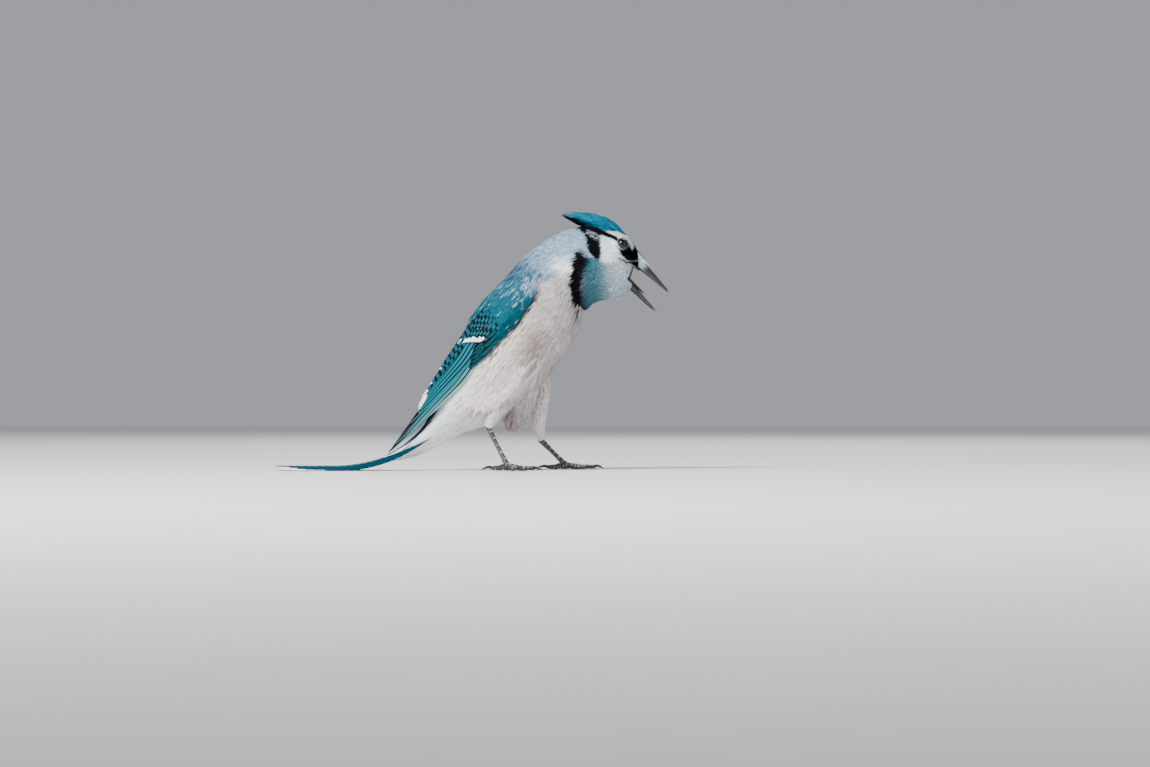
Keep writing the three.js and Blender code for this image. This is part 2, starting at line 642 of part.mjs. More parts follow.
// Long loose feathers that hang from the belly between the legs.
const BELLY_LOCKS = 9;
function bellyLocks() {
  return Array.from({ length: BELLY_LOCKS }, (_, k) => {
    const share = (2 * k) / (BELLY_LOCKS - 1) - 1;
    const from = V(33 + 4 * share, -1 + 7 * Math.sin(1.9 * k), 48 + 3.5 * share);
    const to = V(28 + 10 * share, from.y * 1.1, 21 + 3.5 * Math.abs(share) + 1.5 * Math.sin(2.3 * k));
    const n = V(0.2 * Math.cos(k), -1, 0.1).normalize();
    const d = to.clone().sub(from).normalize();
    const wide = d.clone().cross(n).normalize();
    const place = (t, s) => ({
      p: from.clone().lerp(to, t).addScaledVector(wide, s * 3.4 * vaneWidth(t) * lerp(1, 0.45, t)),
      n,
    });
    return sheet(place, 3, 2, (t) => lerp(2.6, 0.6, t));
  });
}

// Making the nodes: the body is parted, then each piece is cut clear of what it meets

const whole = bodySolid(0);
const grown = bodySolid(GAP);
const neckFrom = { p: V(57, 0, 113.5), d: V(0.74, 0, 0.67) };
const headFrom = { p: V(74.5, 0, 124.6), d: V(0.93, 0, 0.36) };
const tailFrom = { p: tailFrame(8).p, d: tailFrame(8).d };
const before = (at) => halfSpace(at.p, at.d.clone().negate(), GAP / 2);
const after = (at) => halfSpace(at.p, at.d, GAP / 2);
const floor = solid(new THREE.BoxGeometry(600, 600, FLOOR_DEPTH).translate(0, 0, -FLOOR_DEPTH / 2));

const pockets = [wingPocket(-1), wingPocket(1)];
const trunkWhole = joined([whole, ...bellyLocks()])
  .intersect(before(neckFrom))
  .subtract(after(tailFrom))
  .subtract(joined(pockets));
const neckWhole = whole.intersect(after(neckFrom)).intersect(before(headFrom)).subtract(joined(pockets));

const bills = [billHalf(UPPER_BILL, GAP), billHalf(LOWER_BILL, GAP)];
const sockets = [-1, 1].map((side) => solidSphere(V(EYE_CENTRE[0], side * EYE_CENTRE[1], EYE_CENTRE[2]), EYE_RADIUS + GAP));
const headBare = joined([whole.intersect(after(headFrom)), ridge(), ...crestLocks(), lidRing(-1), lidRing(1)]);
const headWhole = headBare
  .subtract(mouthCut())
  .add(joined(nasalTufts()))
  .subtract(joined([...bills, ...sockets]))
  .subtract(grown.intersect(before(headFrom)));

const tailCore = whole.intersect(after(tailFrom));
const tailFeathers = Array.from({ length: TAIL_PAIRS }, (_, i) => TAIL_PAIRS - 1 - i).flatMap((pair) => [
  tailFeather(pair, -1),
  tailFeather(pair, 1),
]);
const tailWhole = joined([tailCore, ...tailFeathers, ...tailCoverts()]).subtract(floor).subtract(before(tailFrom));

const model = new THREE.Group();

// Adds a node: the solid's largest body, without needless slivers, as a mesh with its own material.
function node(name, body, colour, roughness = 0.8, fineness = 0.05) {
  const kept = largest(largest(body).simplify(fineness));
  const { vertProperties, triVerts } = kept.getMesh();
  const geometry = new THREE.BufferGeometry();
  geometry.setAttribute("position", new THREE.BufferAttribute(new Float32Array(vertProperties), 3));
  geometry.setIndex(new THREE.BufferAttribute(new Uint32Array(triVerts), 1));
  geometry.translate(-LENGTH_MIDDLE, 0, 0);
  geometry.computeVertexNormals();
  const mesh = new THREE.Mesh(geometry, new THREE.MeshStandardMaterial({ color: colour, roughness, metalness: 0 }));
  mesh.name = name;
  model.add(mesh);
  return mesh;
}

const FEATHER_GREY = "#cfc6c4";
const FEATHER_BLUE = "#2f93ab";
const NECK_BLUE_GREY = "#9fb3c6";
const HORN = "#2b2b2e";
const LEG_GREY = "#3a3d45";
const EYE_BROWN = "#1a1012";
const TONGUE = "#4a3b3e";

node("torso", trunkWhole, FEATHER_GREY);
node("neck", neckWhole, NECK_BLUE_GREY);
node("head", headWhole, FEATHER_BLUE);
node("tail", tailWhole, FEATHER_BLUE);
node("upper_bill", billHalf(UPPER_BILL, 0), HORN, 0.35);
node("lower_bill", billHalf(LOWER_BILL, 0), HORN, 0.35);
node("tongue", tongueSolid(), TONGUE, 0.5);
for (const [name, side] of [["right", -1], ["left", 1]]) {
  const centre = V(EYE_CENTRE[0], side * EYE_CENTRE[1], EYE_CENTRE[2]);
  node(`${name}_eye`, solidSphere(centre, EYE_RADIUS), EYE_BROWN, 0.1);
  node(`${name}_wing`, joined([wingCore(side), ...wingFeathers(side)]), FEATHER_BLUE);

  const leg = LEGS[name];
  const ankle = { p: V(...leg.ankle), d: V(...leg.ball).sub(V(...leg.ankle)).normalize() };
  const toeTop = { p: V(...leg.ball).addScaledVector(ankle.d, -1.6), d: ankle.d };
  const thigh = limb(leg.thigh.map((p) => V(...p)), leg.bulk, 14, 1, 9);
  node(`${name}_thigh`, thigh.subtract(grown).intersect(before(ankle)), FEATHER_GREY);
  node(`${name}_shank`, shank(leg).intersect(after(ankle)).intersect(before(toeTop)), LEG_GREY, 0.5);
  node(`${name}_foot`, footSolid(leg).subtract(before(toeTop).intersect(limb([V(...leg.ankle), V(...leg.ball)], [3, 3], 10, 1, 2))).subtract(floor), LEG_GREY, 0.5);
  for (const toe of TOES)
    node(`${name}_${toe.name}_claw`, clawSolid(leg, toe).subtract(floor), HORN, 0.35);
}

export default model;
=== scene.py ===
# %% [markdown]
# # A blue jay with its bill open
# The bird stands as a still, life-size model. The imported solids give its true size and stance,
# and every piece made here is laid on the same curves as those solids: one skin, the plumage over
# it in rows of thin sheets cut into fingers, the flight feathers, the bill, the eyes and the feet.

# %% Load the frame
import math
import bpy
import numpy as np
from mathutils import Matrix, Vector
from mathutils.kdtree import KDTree


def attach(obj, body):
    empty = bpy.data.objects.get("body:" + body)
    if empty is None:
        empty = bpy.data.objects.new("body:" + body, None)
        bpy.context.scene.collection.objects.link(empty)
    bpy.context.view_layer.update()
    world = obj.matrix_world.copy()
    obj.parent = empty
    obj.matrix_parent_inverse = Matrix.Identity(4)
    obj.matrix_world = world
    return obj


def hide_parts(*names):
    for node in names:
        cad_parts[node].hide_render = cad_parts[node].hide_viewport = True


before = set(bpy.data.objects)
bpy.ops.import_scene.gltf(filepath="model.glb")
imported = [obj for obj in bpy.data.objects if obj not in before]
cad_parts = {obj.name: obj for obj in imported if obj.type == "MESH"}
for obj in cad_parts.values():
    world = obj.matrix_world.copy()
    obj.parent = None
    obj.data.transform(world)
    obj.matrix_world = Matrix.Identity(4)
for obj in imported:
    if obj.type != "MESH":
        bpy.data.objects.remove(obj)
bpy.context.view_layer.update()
MM = 0.001
LENGTH_MIDDLE = 4.7  # mm, x of the drawing that the origin stands at
FLOOR_CLEARANCE = 0.3  # mm that no loose feather reaches below
NUDGE = 0.02  # small step that slopes are measured with
rng = np.random.default_rng(7)
print("solids loaded:", len(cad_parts))


# %% [markdown]
# ## The drawing
# A bird's body is drawn as a boat is: sections across a line that runs from tail to bill, each with
# a reach to the back, to the front and to the side. A smooth curve through the sections gives the
# surface at any place, so skin and feathers can be laid on one and the same form.

# %% Curves through tables
def along(table, at):
    """Values of a table of [place, value, ...] rows, smooth between the rows."""
    rows = np.asarray(table, float)
    at = np.asarray(at, float)
    last = len(rows) - 1
    i = np.clip(np.searchsorted(rows[:, 0], at, side="left") - 1, 0, last - 1)
    t = np.clip((at - rows[i, 0]) / (rows[i + 1, 0] - rows[i, 0]), 0, 1)[..., None]
    a, b, c, d = (rows[np.clip(i + k, 0, last), 1:] for k in (-1, 0, 1, 2))
    bend = (2 * a - 5 * b + 4 * c - d + (3 * b - a - 3 * c + d) * t) * t
    value = b + 0.5 * t * (c - a + bend)
    return value[..., 0] if rows.shape[1] == 2 else value


def smooth(x, low, high):
    x = np.clip((x - low) / (high - low), 0, 1)
    return x * x * (3 - 2 * x)


def mix(a, b, share):
    return a + (b - a) * share


def unit(v):
    return v / np.maximum(np.linalg.norm(v, axis=-1, keepdims=True), 1e-12)


def vectors(x, y, z):
    return np.stack(np.broadcast_arrays(np.asarray(x, float), y, z), axis=-1)


def numbered(rows):
    """A table whose rows start with their own number."""
    return [[i, *row] for i, row in enumerate(rows)]


def round_grid(start, end, rows, sides):
    """Places along a form and turns round it, as two grids."""
    turns = np.linspace(0, 2 * np.pi, sides, endpoint=False)
    return np.meshgrid(np.linspace(start, end, rows), turns, indexing="ij")


def metres(points):
    """Drawing millimetres to the frame's metres."""
    return (np.asarray(points, float) - [LENGTH_MIDDLE, 0, 0]) * MM


print("curve through three points, halfway:", along([[0, 0.0], [1, 2.0], [2, 0.0]], 0.5))

# %% [markdown]
# ## Trunk, neck, head and tail
# A jay's body is an egg with a neck and a head on it, and all of it is feathered without a seam. It
# could be made of a ball for each part, but then the joins would show, so one table of sections runs
# from under the tail to the bill. The tail hangs from the rump and bends to lie on the floor.

# %% Body sections
BODY_TILT = math.radians(50)
BODY_CENTRE = np.array([24.9, 0, 72.6])
AXIS = np.array([math.cos(BODY_TILT), 0, math.sin(BODY_TILT)])
BACK = np.array([-math.sin(BODY_TILT), 0, math.cos(BODY_TILT)])
TAIL_ROOT = (-6.5, 36.8)
TAIL_SLOPE = math.radians(52)
TAIL_BEND_LENGTH = 83.0
TAIL_LENGTH = 118.0


def trunk(a, y, h):
    a, y, h = np.broadcast_arrays(np.asarray(a, float), y, h)
    return BODY_CENTRE + a[..., None] * AXIS + h[..., None] * BACK + vectors(0, y, 0)


def tail_frame(s):
    """Point, heading and upper side of the tail's curve at a length along it."""
    s = np.asarray(s, float)
    bent = np.minimum(s, TAIL_BEND_LENGTH)
    slope = TAIL_SLOPE * (1 - bent / TAIL_BEND_LENGTH)
    turn = TAIL_BEND_LENGTH / TAIL_SLOPE
    x = TAIL_ROOT[0] - turn * (math.sin(TAIL_SLOPE) - np.sin(slope)) - (s - bent)
    z = TAIL_ROOT[1] - turn * (np.cos(slope) - math.cos(TAIL_SLOPE))
    heading = vectors(-np.cos(slope), 0, -np.sin(slope))
    upper = vectors(-np.sin(slope), 0, np.cos(slope))
    return vectors(x, 0, z), heading, upper


def trunk_row(a, back, front, side):
    p = trunk(a, 0, 0)
    return [p[0], p[2], 140.0, back, front, side]


def tail_row(s, back, front, side):
    p, _, n = tail_frame(s)
    return [p[0], p[2], math.degrees(math.atan2(n[2], n[0])), back, front, side]


BODY = [
    tail_row(53, 1.2, 1.6, 2.5),
    tail_row(40, 2.6, 5.2, 6.5),
    tail_row(26, 4.8, 8.4, 9.5),
    tail_row(11, 9, 11.5, 12.5),
    trunk_row(-47, 16, 17.5, 16.5),
    trunk_row(-31, 21.5, 26, 22.5),
    trunk_row(-13, 25.8, 29.4, 27),
    trunk_row(4, 28.2, 30, 29),
    trunk_row(20, 28.8, 29.2, 28.6),
    trunk_row(34, 28.2, 27.2, 26),
    [53.2, 110.2, 138, 25.2, 23.4, 22.4],
    [60.6, 116.6, 122, 24.5, 24, 20.4],
    [68.7, 122.1, 114, 23.6, 23.8, 19],
    [76.8, 124.8, 111, 22.6, 24.2, 18],
    [85.2, 126.6, 109, 23.4, 24.2, 16.8],
    [92.7, 128.1, 107, 21, 21.2, 14.8],
    [98.6, 127.2, 102, 15.4, 15.2, 11.6],
    [102.4, 125.2, 95, 9.6, 9.8, 8],
    [104.6, 123.6, 90, 4.2, 4.6, 4.4],
]
BODY_ROWS = numbered(BODY)
BILL_END = len(BODY) - 1
EYE_CENTRE = np.array([93.6, 11.2, 134.6])
EYE_RADIUS = 4.1
ORBIT_RISE = 2.5  # mm that the feathered rim round an eye stands out


def body_point(at, turn, out=0.0):
    """A point of the body's surface: place 0 to 18 from tail to bill, turn 0 at the back."""
    x, z, lean, back, front, side = np.moveaxis(along(BODY_ROWS, at), -1, 0)
    lean = np.radians(lean)
    high = np.where(np.cos(turn) > 0, back, front) + out
    h = high * np.cos(turn)
    p = vectors(x + h * np.cos(lean), (side + out) * np.sin(turn), z + h * np.sin(lean))
    away = np.hypot(p[..., 0] - EYE_CENTRE[0], p[..., 2] - EYE_CENTRE[2])
    rim = ORBIT_RISE * (1 - smooth(away, 2.4, 7.4)) * smooth(np.abs(p[..., 1]), 4, 9)
    p[..., 1] += np.sign(p[..., 1]) * rim
    return p


near_eye = body_point(np.linspace(13, 16, 300)[:, None], np.linspace(0.3, 1.6, 200)[None])
away = np.linalg.norm((near_eye - EYE_CENTRE)[..., [0, 2]], axis=-1)
print("head's half width at an eye:", near_eye[away < 1.0][:, 1].mean().round(2))
print("and at its rim:", near_eye[abs(away - 3.4) < 0.3][:, 1].mean().round(2))
print("body surface from", body_point(0.0, 0.0).round(1), "to", body_point(18.0, 0.0).round(1))


# %% [markdown]
# ## The folded wing's surface
# A folded wing lies on the flank like a curved shield. It could be modelled as a slab, but every
# feather has to follow it, so it is written as a rule that turns a length behind the bend and a
# height above the lower edge into a point.

# %% Wing surface
WING_FRONT = 44.0
WING = [
    # behind the bend, reach to the back, reach to the side, lower edge and upper edge in degrees from the back
    [0, 27.4, 24.4, 61, 50], [6, 28.2, 26.2, 70, 35], [12, 29, 27.8, 75, 24], [25, 29.8, 29.6, 78, 16],
    [40, 29.6, 30.4, 78, 12], [60, 27.6, 28.6, 75, 10], [75, 25.4, 25.2, 70, 10], [90, 23.2, 20.8, 62, 12],
    [105, 21, 17, 53, 18], [120, 19.2, 14, 44, 22], [140, 17.6, 11.2, 30, 24],
]


def wing_point(l, q, out, side):
    """A point on a folded wing: length behind the bend, height above the lower edge, out by some mm."""
    back, wide, edge, _ = np.moveaxis(along(WING, l), -1, 0)
    turn = np.radians(edge) - 2 * q / (back + wide)
    return trunk(WING_FRONT - l, side * (wide + out) * np.sin(turn), (back + out) * np.cos(turn))


def wing_place(p):
    """For points: length behind the bend, turn from the back, the wing's two edges there, both reaches added."""
    l = WING_FRONT - (p - BODY_CENTRE) @ AXIS
    back, wide, edge, top = np.moveaxis(along(WING, l), -1, 0)
    turn = np.degrees(np.arctan2(np.abs(p[..., 1]) / wide, ((p - BODY_CENTRE) @ BACK) / back))
    return l, turn, edge, top, back + wide


def under_wing(p, margin):
    """How far points lie inside a folded wing's outline, in mm, less a margin."""
    l, turn, edge, top, reach = wing_place(p)
    arc = np.radians(np.minimum(edge - turn, turn - top)) * reach / 2
    return np.minimum(np.minimum(arc, l + 1), 112 - l) - margin


def wing_edge_shadow(p):
    """The painted shadow along the wing's lower edge, 1 on it and 0 off it."""
    l, turn, edge, _, reach = wing_place(p)
    below = np.radians(turn - edge) * reach / 2
    return smooth(below, -0.8, 0.0) * smooth(below, 3.3, 2.3) * smooth(l, 3, 9) * smooth(l, 70, 52)


for name, l, q in (("bend", 0.0, 0.0), ("tip", 137.0, 2.6)):
    print("wing's", name, "at", wing_point(np.array(l), q, 0.0, -1).round(1))

# %% [markdown]
# ## Meshes from arrays
# Plumage is thousands of alike vanes. Adding them one by one would take minutes, so their corners
# are worked out together as arrays and each tract of feathers becomes one mesh. Each feather keeps
# its colour, its own place across and along, and a small patch of its own on a bake map.

# %% Mesh helpers
made = []


def mesh_object(name, points, faces, material, replaced=()):
    """A piece from arrays of points (drawing mm) and faces."""
    mesh = bpy.data.meshes.new(name)
    points = np.asarray(points, float).reshape(-1, 3)
    faces = np.asarray(faces, np.int32)
    corners = faces.shape[1]
    mesh.vertices.add(len(points))
    mesh.vertices.foreach_set("co", metres(points).astype(np.float32).ravel())
    mesh.loops.add(faces.size)
    mesh.loops.foreach_set("vertex_index", faces.ravel())
    mesh.polygons.add(len(faces))
    mesh.polygons.foreach_set("loop_start", np.arange(0, faces.size, corners, dtype=np.int32))
    mesh.polygons.foreach_set("use_smooth", np.full(len(faces), True))
    mesh.update(calc_edges=True)
    mesh.validate()
    piece = bpy.data.objects.new(name, mesh)
    bpy.context.scene.collection.objects.link(piece)
    keep(piece, material, replaced)
    return piece


def keep(piece, material, replaced=()):
    """Gives a finished piece its finish, hangs it on the root and hides the solids it replaces."""
    piece.data.materials.clear()
    piece.data.materials.append(material)
    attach(piece, "root")
    if replaced:
        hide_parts(*replaced)
    made.append(piece)


def triangles(pieces):
    return sum(len(face.vertices) - 2 for piece in pieces for face in piece.data.polygons)


def point_values(piece, name, values):
    """Stores a number, or a colour, at each point of a piece."""
    values = np.asarray(values, np.float32)
    kind = "FLOAT" if values.ndim == 1 else "FLOAT_COLOR"
    layer = piece.data.attributes.new(name, kind, "POINT")
    if values.ndim == 1:
        layer.data.foreach_set("value", values)
    else:
        rgba = np.concatenate([values, np.ones((len(values), 1), np.float32)], axis=1)
        layer.data.foreach_set("color", rgba.ravel())


def map_values(piece, name, uv):
    """Stores a flat map from a pair of numbers at each point."""
    layer = piece.data.uv_layers.new(name=name)
    corner = np.empty(len(piece.data.loops), np.int32)
    piece.data.loops.foreach_get("vertex_index", corner)
    layer.data.foreach_set("uv", np.asarray(uv, np.float32)[corner].ravel())


def loft_faces(rings, sides, start=0):
    """Quads between rings of points."""
    r, k = np.meshgrid(np.arange(rings - 1), np.arange(sides), indexing="ij")
    a = start + r * sides + k
    b = start + r * sides + (k + 1) % sides
    return np.stack([a, b, b + sides, a + sides], axis=-1).reshape(-1, 4)


print("a loft of 3 rings of 8 points has", len(loft_faces(3, 8)), "faces")

# %% [markdown]
# ## Colours and nodes
# Colours are written as they look on a screen and turned to the linear values that light is worked
# out with. Materials are trees of nodes, so one small function adds a node with all that belongs to it.

# %% Colours and nodes
def linear(code):
    """An sRGB hex colour as linear red, green and blue."""
    part = np.array([int(code[i:i + 2], 16) for i in (1, 3, 5)]) / 255
    return np.where(part <= 0.04045, part / 12.92, ((part + 0.055) / 1.055) ** 2.4)


def add_node(tree, kind, settings=None, values=None, links=None):
    """Adds a node, its settings, its sockets' values and the links into it."""
    node = tree.nodes.new(kind)
    for key, value in (settings or {}).items():
        setattr(node, key, value)
    for key, value in (values or {}).items():
        node.inputs[key].default_value = value
    for key, socket in (links or {}).items():
        tree.links.new(socket, node.inputs[key])
    return node


def new_material(name):
    """A material with an empty Principled surface."""
    material = bpy.data.materials.new(name)
    material.use_nodes = True
    tree = material.node_tree
    tree.nodes.clear()
    shader = add_node(tree, "ShaderNodeBsdfPrincipled")
    add_node(tree, "ShaderNodeOutputMaterial", links={"Surface": shader.outputs["BSDF"]})
    return material, tree, shader


def shader_values(shader, **values):
    for key, value in values.items():
        shader.inputs[key.replace("_", " ")].default_value = value


print("middle grey in linear light:", linear("#808080").round(3))

# %% [markdown]
# ## Plumage colours
# A jay's blue is no pigment: the barbs scatter light, so the colour is clear and even, and dark
# where the barbs are black. The markings are laid down as shapes seen from the side, the same on
# the skin and on every feather whose root stands in them, so a feather carries one colour and the
# marks get their ragged edges from the feathers themselves. Shade on the breast and under the belly,
# and the shadow along the wing's lower edge, are painted into the same colours.

# %% Named colours
CREST_BLUE = linear("#004f68")
CREST_LIGHT = linear("#087690")
NAPE_GREY = linear("#859fb4")
BACK_BLUE = linear("#004a5c")
BREAST_GREY = linear("#b4aeac")
# the breast in painted shade; the flank hem's fingers also take some of it at random
BREAST_SHADE = linear("#8d7f79")
BELLY_PALE = linear("#e6dad5")
# the belly's underside in painted shade, also the colour of the thighs' dark specks
BELLY_SHADE = linear("#74727a")
VENT_WHITE = linear("#eef0f2")
CHEEK_WHITE = linear("#dbe6ec")
BROW_WHITE = linear("#dce8ec")
THROAT_BLUE = linear("#416d7b")
THROAT_TEAL = linear("#053f50")
CHIN_GREY = linear("#b4c1ca")
COLLAR_BLACK = linear("#05070a")
MOUTH_DARK = linear("#140c0d")
PALATE_ROSE = linear("#5a3a3b")
# painted shadow along the wing's lower edge
EDGE_SHADOW = linear("#14181d")
STREAK_GREY = linear("#8d9499")
BRISTLE_BLUE = linear("#5f8c97")
SIDE_UNIT = 0.6  # mm to a unit of the side view in which the marks are drawn
SIDE_ORIGIN = (465, 470)  # the drawing's origin on the side view


def edge_distance(shape, u, v):
    """Distance inside (+) or outside (-) a closed shape drawn on the side view."""
    shape = np.asarray(shape, float)
    nearest = np.full(u.shape, 1e9)
    within = np.zeros(u.shape, bool)
    for (ax, ay), (bx, by) in zip(shape, np.roll(shape, -1, axis=0)):
        dx, dy = bx - ax, by - ay
        t = np.clip(((u - ax) * dx + (v - ay) * dy) / (dx * dx + dy * dy), 0, 1)
        nearest = np.minimum(nearest, np.hypot(u - ax - t * dx, v - ay - t * dy))
        crosses = (ay > v) != (by > v)
        reach = ax + (v - ay) * dx / (dy if dy else 1e-9)
        within ^= crosses & (u < reach)
    return np.where(within, nearest, -nearest)


# Shapes on the side view, in its units
CAP = [(540, 200), (575, 200), (640, 215), (642, 240), (637, 250), (634, 248), (631.5, 241.5), (627, 236), (617, 231.5),
       (605, 231.5), (590, 226), (575, 221.5), (560, 219.5), (540, 219)]
BROW = [(602, 230.5), (617, 231.5), (627, 236), (631.5, 241.5), (634, 248), (631.5, 250.5), (627.5, 244), (622, 240),
        (612, 238)]
EYE_LINE = [(588, 223.5), (603, 230.5), (617, 237.5), (618, 241.5), (603, 236.5), (589, 230)]
NAPE_BAND = [(556, 214.5), (575, 221), (590, 226), (601, 231), (599, 240), (600.5, 250), (600, 260.5), (594.5, 259.5),
             (588.5, 252), (586, 243), (583.5, 234), (576, 227.5), (566, 222.5)]
LORES = [(615, 246), (618, 249), (622, 250.6), (626.5, 249), (628.5, 247), (631.5, 251), (634, 247), (639, 246),
         (641, 252), (639.5, 258), (634, 261.5), (627, 261.5), (622.5, 257)]
CHEEK = [(600, 236), (606, 236), (615, 242), (619, 251), (623.5, 259.5), (615, 262), (606, 265), (600.5, 261)]
COLLAR = [(574, 252.5), (580, 253), (587, 260.5), (584, 270), (581.5, 285), (582, 300), (584, 308), (588, 313),
          (596, 315), (594, 323), (581, 325), (577, 319), (574, 311), (570.5, 296), (569, 281), (571, 271), (573, 262)]
THROAT = [(586, 258), (600, 259), (606, 264), (626, 262), (640, 280), (632, 296), (612, 304), (598, 306),
          (584, 322), (583, 300), (584, 272)]
STREAKS = [(587, 229), (600, 236), (603, 241), (598, 241), (590, 237), (584, 233)]
GAPE = [(615, 259), (619, 260), (626, 264), (630, 264), (640, 270), (641, 262), (633, 262), (626, 262.3), (619, 258.2)]
MOUTH = [(624.5, 265.8), (628.3, 264), (636.3, 269), (646, 275.5), (650, 294), (641, 292.6), (634, 285.6),
         (628.5, 280.2), (625.5, 274)]


def side_view(p):
    """Where points show on the side view."""
    return p[..., 0] / SIDE_UNIT + SIDE_ORIGIN[0], SIDE_ORIGIN[1] - p[..., 2] / SIDE_UNIT


def side_place(u, v):
    """x and z, in mm, of a place on the side view."""
    return (u - SIDE_ORIGIN[0]) * SIDE_UNIT, (SIDE_ORIGIN[1] - v) * SIDE_UNIT


def plumage(p, at, turn, ragged=0.0):
    """The colour of the coat at points of the body, from the marks and the place on the body, with painted shade and
    shadow.
    """
    u, v = side_view(p)
    if ragged:
        u = u + rng.normal(0, ragged, u.shape)
        v = v + rng.normal(0, ragged, v.shape)
    up = np.cos(turn)

    def on(shape, soft=0.8):
        return smooth(edge_distance(shape, u, v), -soft, soft)[..., None]

    head = smooth(at, 9.6, 10.2)[..., None]
    teal = smooth(at + rng.normal(0, 0.3, at.shape) * (ragged > 0), 10.7, 9.3)[..., None]
    back = mix(NAPE_GREY, BACK_BLUE, 0.9 * teal)
    # painted shade: two soft brownish shadows laid on the breast
    shade = np.exp(-(((u - 532) / 16) ** 2 + ((v - 350) / 22) ** 2))[..., None]
    front = mix(BREAST_GREY, BELLY_PALE, smooth(at, 9.5, 6.5)[..., None])
    front = mix(front, BREAST_SHADE, 0.7 * shade)
    shade = np.exp(-(((u - 540) / 9) ** 2 + ((v - 345) / 20) ** 2))[..., None]
    front = mix(front, BREAST_SHADE, 0.5 * shade)
    front = mix(front, VENT_WHITE, smooth(at, 6.0, 4.0)[..., None])
    # painted shade on the belly's underside between the legs
    underside_shade = smooth(up, -0.72, -0.95) * smooth(at, 4.0, 5.8) * smooth(at, 9.6, 6.4)
    front = mix(front, BELLY_SHADE, 0.5 * underside_shade[..., None])
    top_edge = mix(np.cos(np.radians(50)), 0.12, smooth(at, 8.6, 10.4))
    colour = mix(front, back, smooth(up, top_edge - 0.12, top_edge + 0.12)[..., None])
    # painted shadow cast by the wing on the flank
    colour = mix(colour, EDGE_SHADOW, 0.85 * wing_edge_shadow(p)[..., None])
    pale = np.exp(-(((u - 563) / 10) ** 2 + ((v - 267) / 8) ** 2))[..., None]
    colour = mix(colour, VENT_WHITE, np.minimum(1, 1.15 * pale) * head)
    collar_gap = edge_distance(COLLAR, u, v)
    throat = mix(mix(THROAT_BLUE, CHIN_GREY, smooth(u, 594, 622)[..., None]), THROAT_TEAL,
                 (0.9 * np.exp(-np.maximum(-collar_gap, 0) / 5.0))[..., None])
    colour = mix(colour, throat, on(THROAT, 2.0))
    below_throat = smooth(collar_gap, -5.0, -0.5)[..., None] * ((u > 577) & (v < 309))[..., None]
    colour = mix(colour, THROAT_TEAL, 0.7 * below_throat)
    colour = mix(colour, CHEEK_WHITE, head * on(CHEEK, 1.5))
    colour = mix(colour, BROW_WHITE, head * on(BROW, 0.5))
    crown = mix(CREST_BLUE, CREST_LIGHT, rng.random(u.shape)[..., None] * 0.5)
    colour = mix(colour, crown, head * on(CAP, 0.6))
    for shape in (NAPE_BAND, EYE_LINE, LORES):
        bridge = smooth(np.abs(p[..., 1]), 1.5, 4.0) if shape is LORES else 1.0
        bridge = np.maximum(bridge, smooth(v, 249.5, 251.5))
        colour = mix(colour, COLLAR_BLACK, head * on(shape, 0.7) * bridge[..., None])
    colour = mix(colour, STREAK_GREY, head * on(STREAKS, 0.7) * (rng.random(u.shape) < 0.4)[..., None])
    colour = mix(colour, COLLAR_BLACK, smooth(collar_gap, -1.0, 0.8)[..., None])
    colour = mix(colour, COLLAR_BLACK, head * on(GAPE, 0.6))
    colour = mix(colour, MOUTH_DARK, smooth(at, 17.4, 17.6)[..., None])
    return np.clip(colour, 0, 1)


print("the eye on the side view:", [float(place.round(1)) for place in side_view(EYE_CENTRE)])

# %% [markdown]
# ## The finish of soft feathers
# Contour feathers are matt: thousands of keratin barbs scatter the light. The colour of each feather
# comes from the mesh, and the material adds the fine streaks of its barbs, drawn coarse enough to
# show, in the feather's own map, so that they run along it. The skin's down has the same colours
# with an even grain.

# %% Plumage material
NOISE, VORONOI = "ShaderNodeTexNoise", "ShaderNodeTexVoronoi"


def grained_material(name, surface, grain, tone, relief, along_vane=False):
    """Each point's own colour under one grain, which shades it and gives it relief. Scales count to a metre."""
    material, tree, shader = new_material(name)
    shader_values(shader, Roughness=surface[0], Specular_IOR_Level=surface[1])
    base = add_node(tree, "ShaderNodeAttribute", {"attribute_name": "plumage"})
    if along_vane:
        vane = add_node(tree, "ShaderNodeUVMap", {"uv_map": "Vane"})
        stretched = add_node(tree, "ShaderNodeMapping", values={"Scale": (2.6, 0.22, 1.0)},  # barbs 0.4 mm wide
                             links={"Vector": vane.outputs["UV"]})
        place = stretched.outputs["Vector"]
    else:
        place = add_node(tree, "ShaderNodeTexCoord").outputs["Object"]
    kind, values = grain
    texture = add_node(tree, kind, values=values, links={"Vector": place})
    height = texture.outputs["Distance" if kind == VORONOI else "Fac"]
    span = dict(zip(("From Min", "From Max", "To Min", "To Max"), tone))
    shade = add_node(tree, "ShaderNodeMapRange", values=span, links={"Value": height})
    toned = add_node(tree, "ShaderNodeVectorMath", {"operation": "SCALE"},
                     links={0: base.outputs["Color"], "Scale": shade.outputs["Result"]})
    tree.links.new(toned.outputs["Vector"], shader.inputs["Base Color"])
    bump = add_node(tree, "ShaderNodeBump", values=dict(zip(("Strength", "Distance"), relief)),
                    links={"Height": height})
    tree.links.new(bump.outputs["Normal"], shader.inputs["Normal"])
    return material


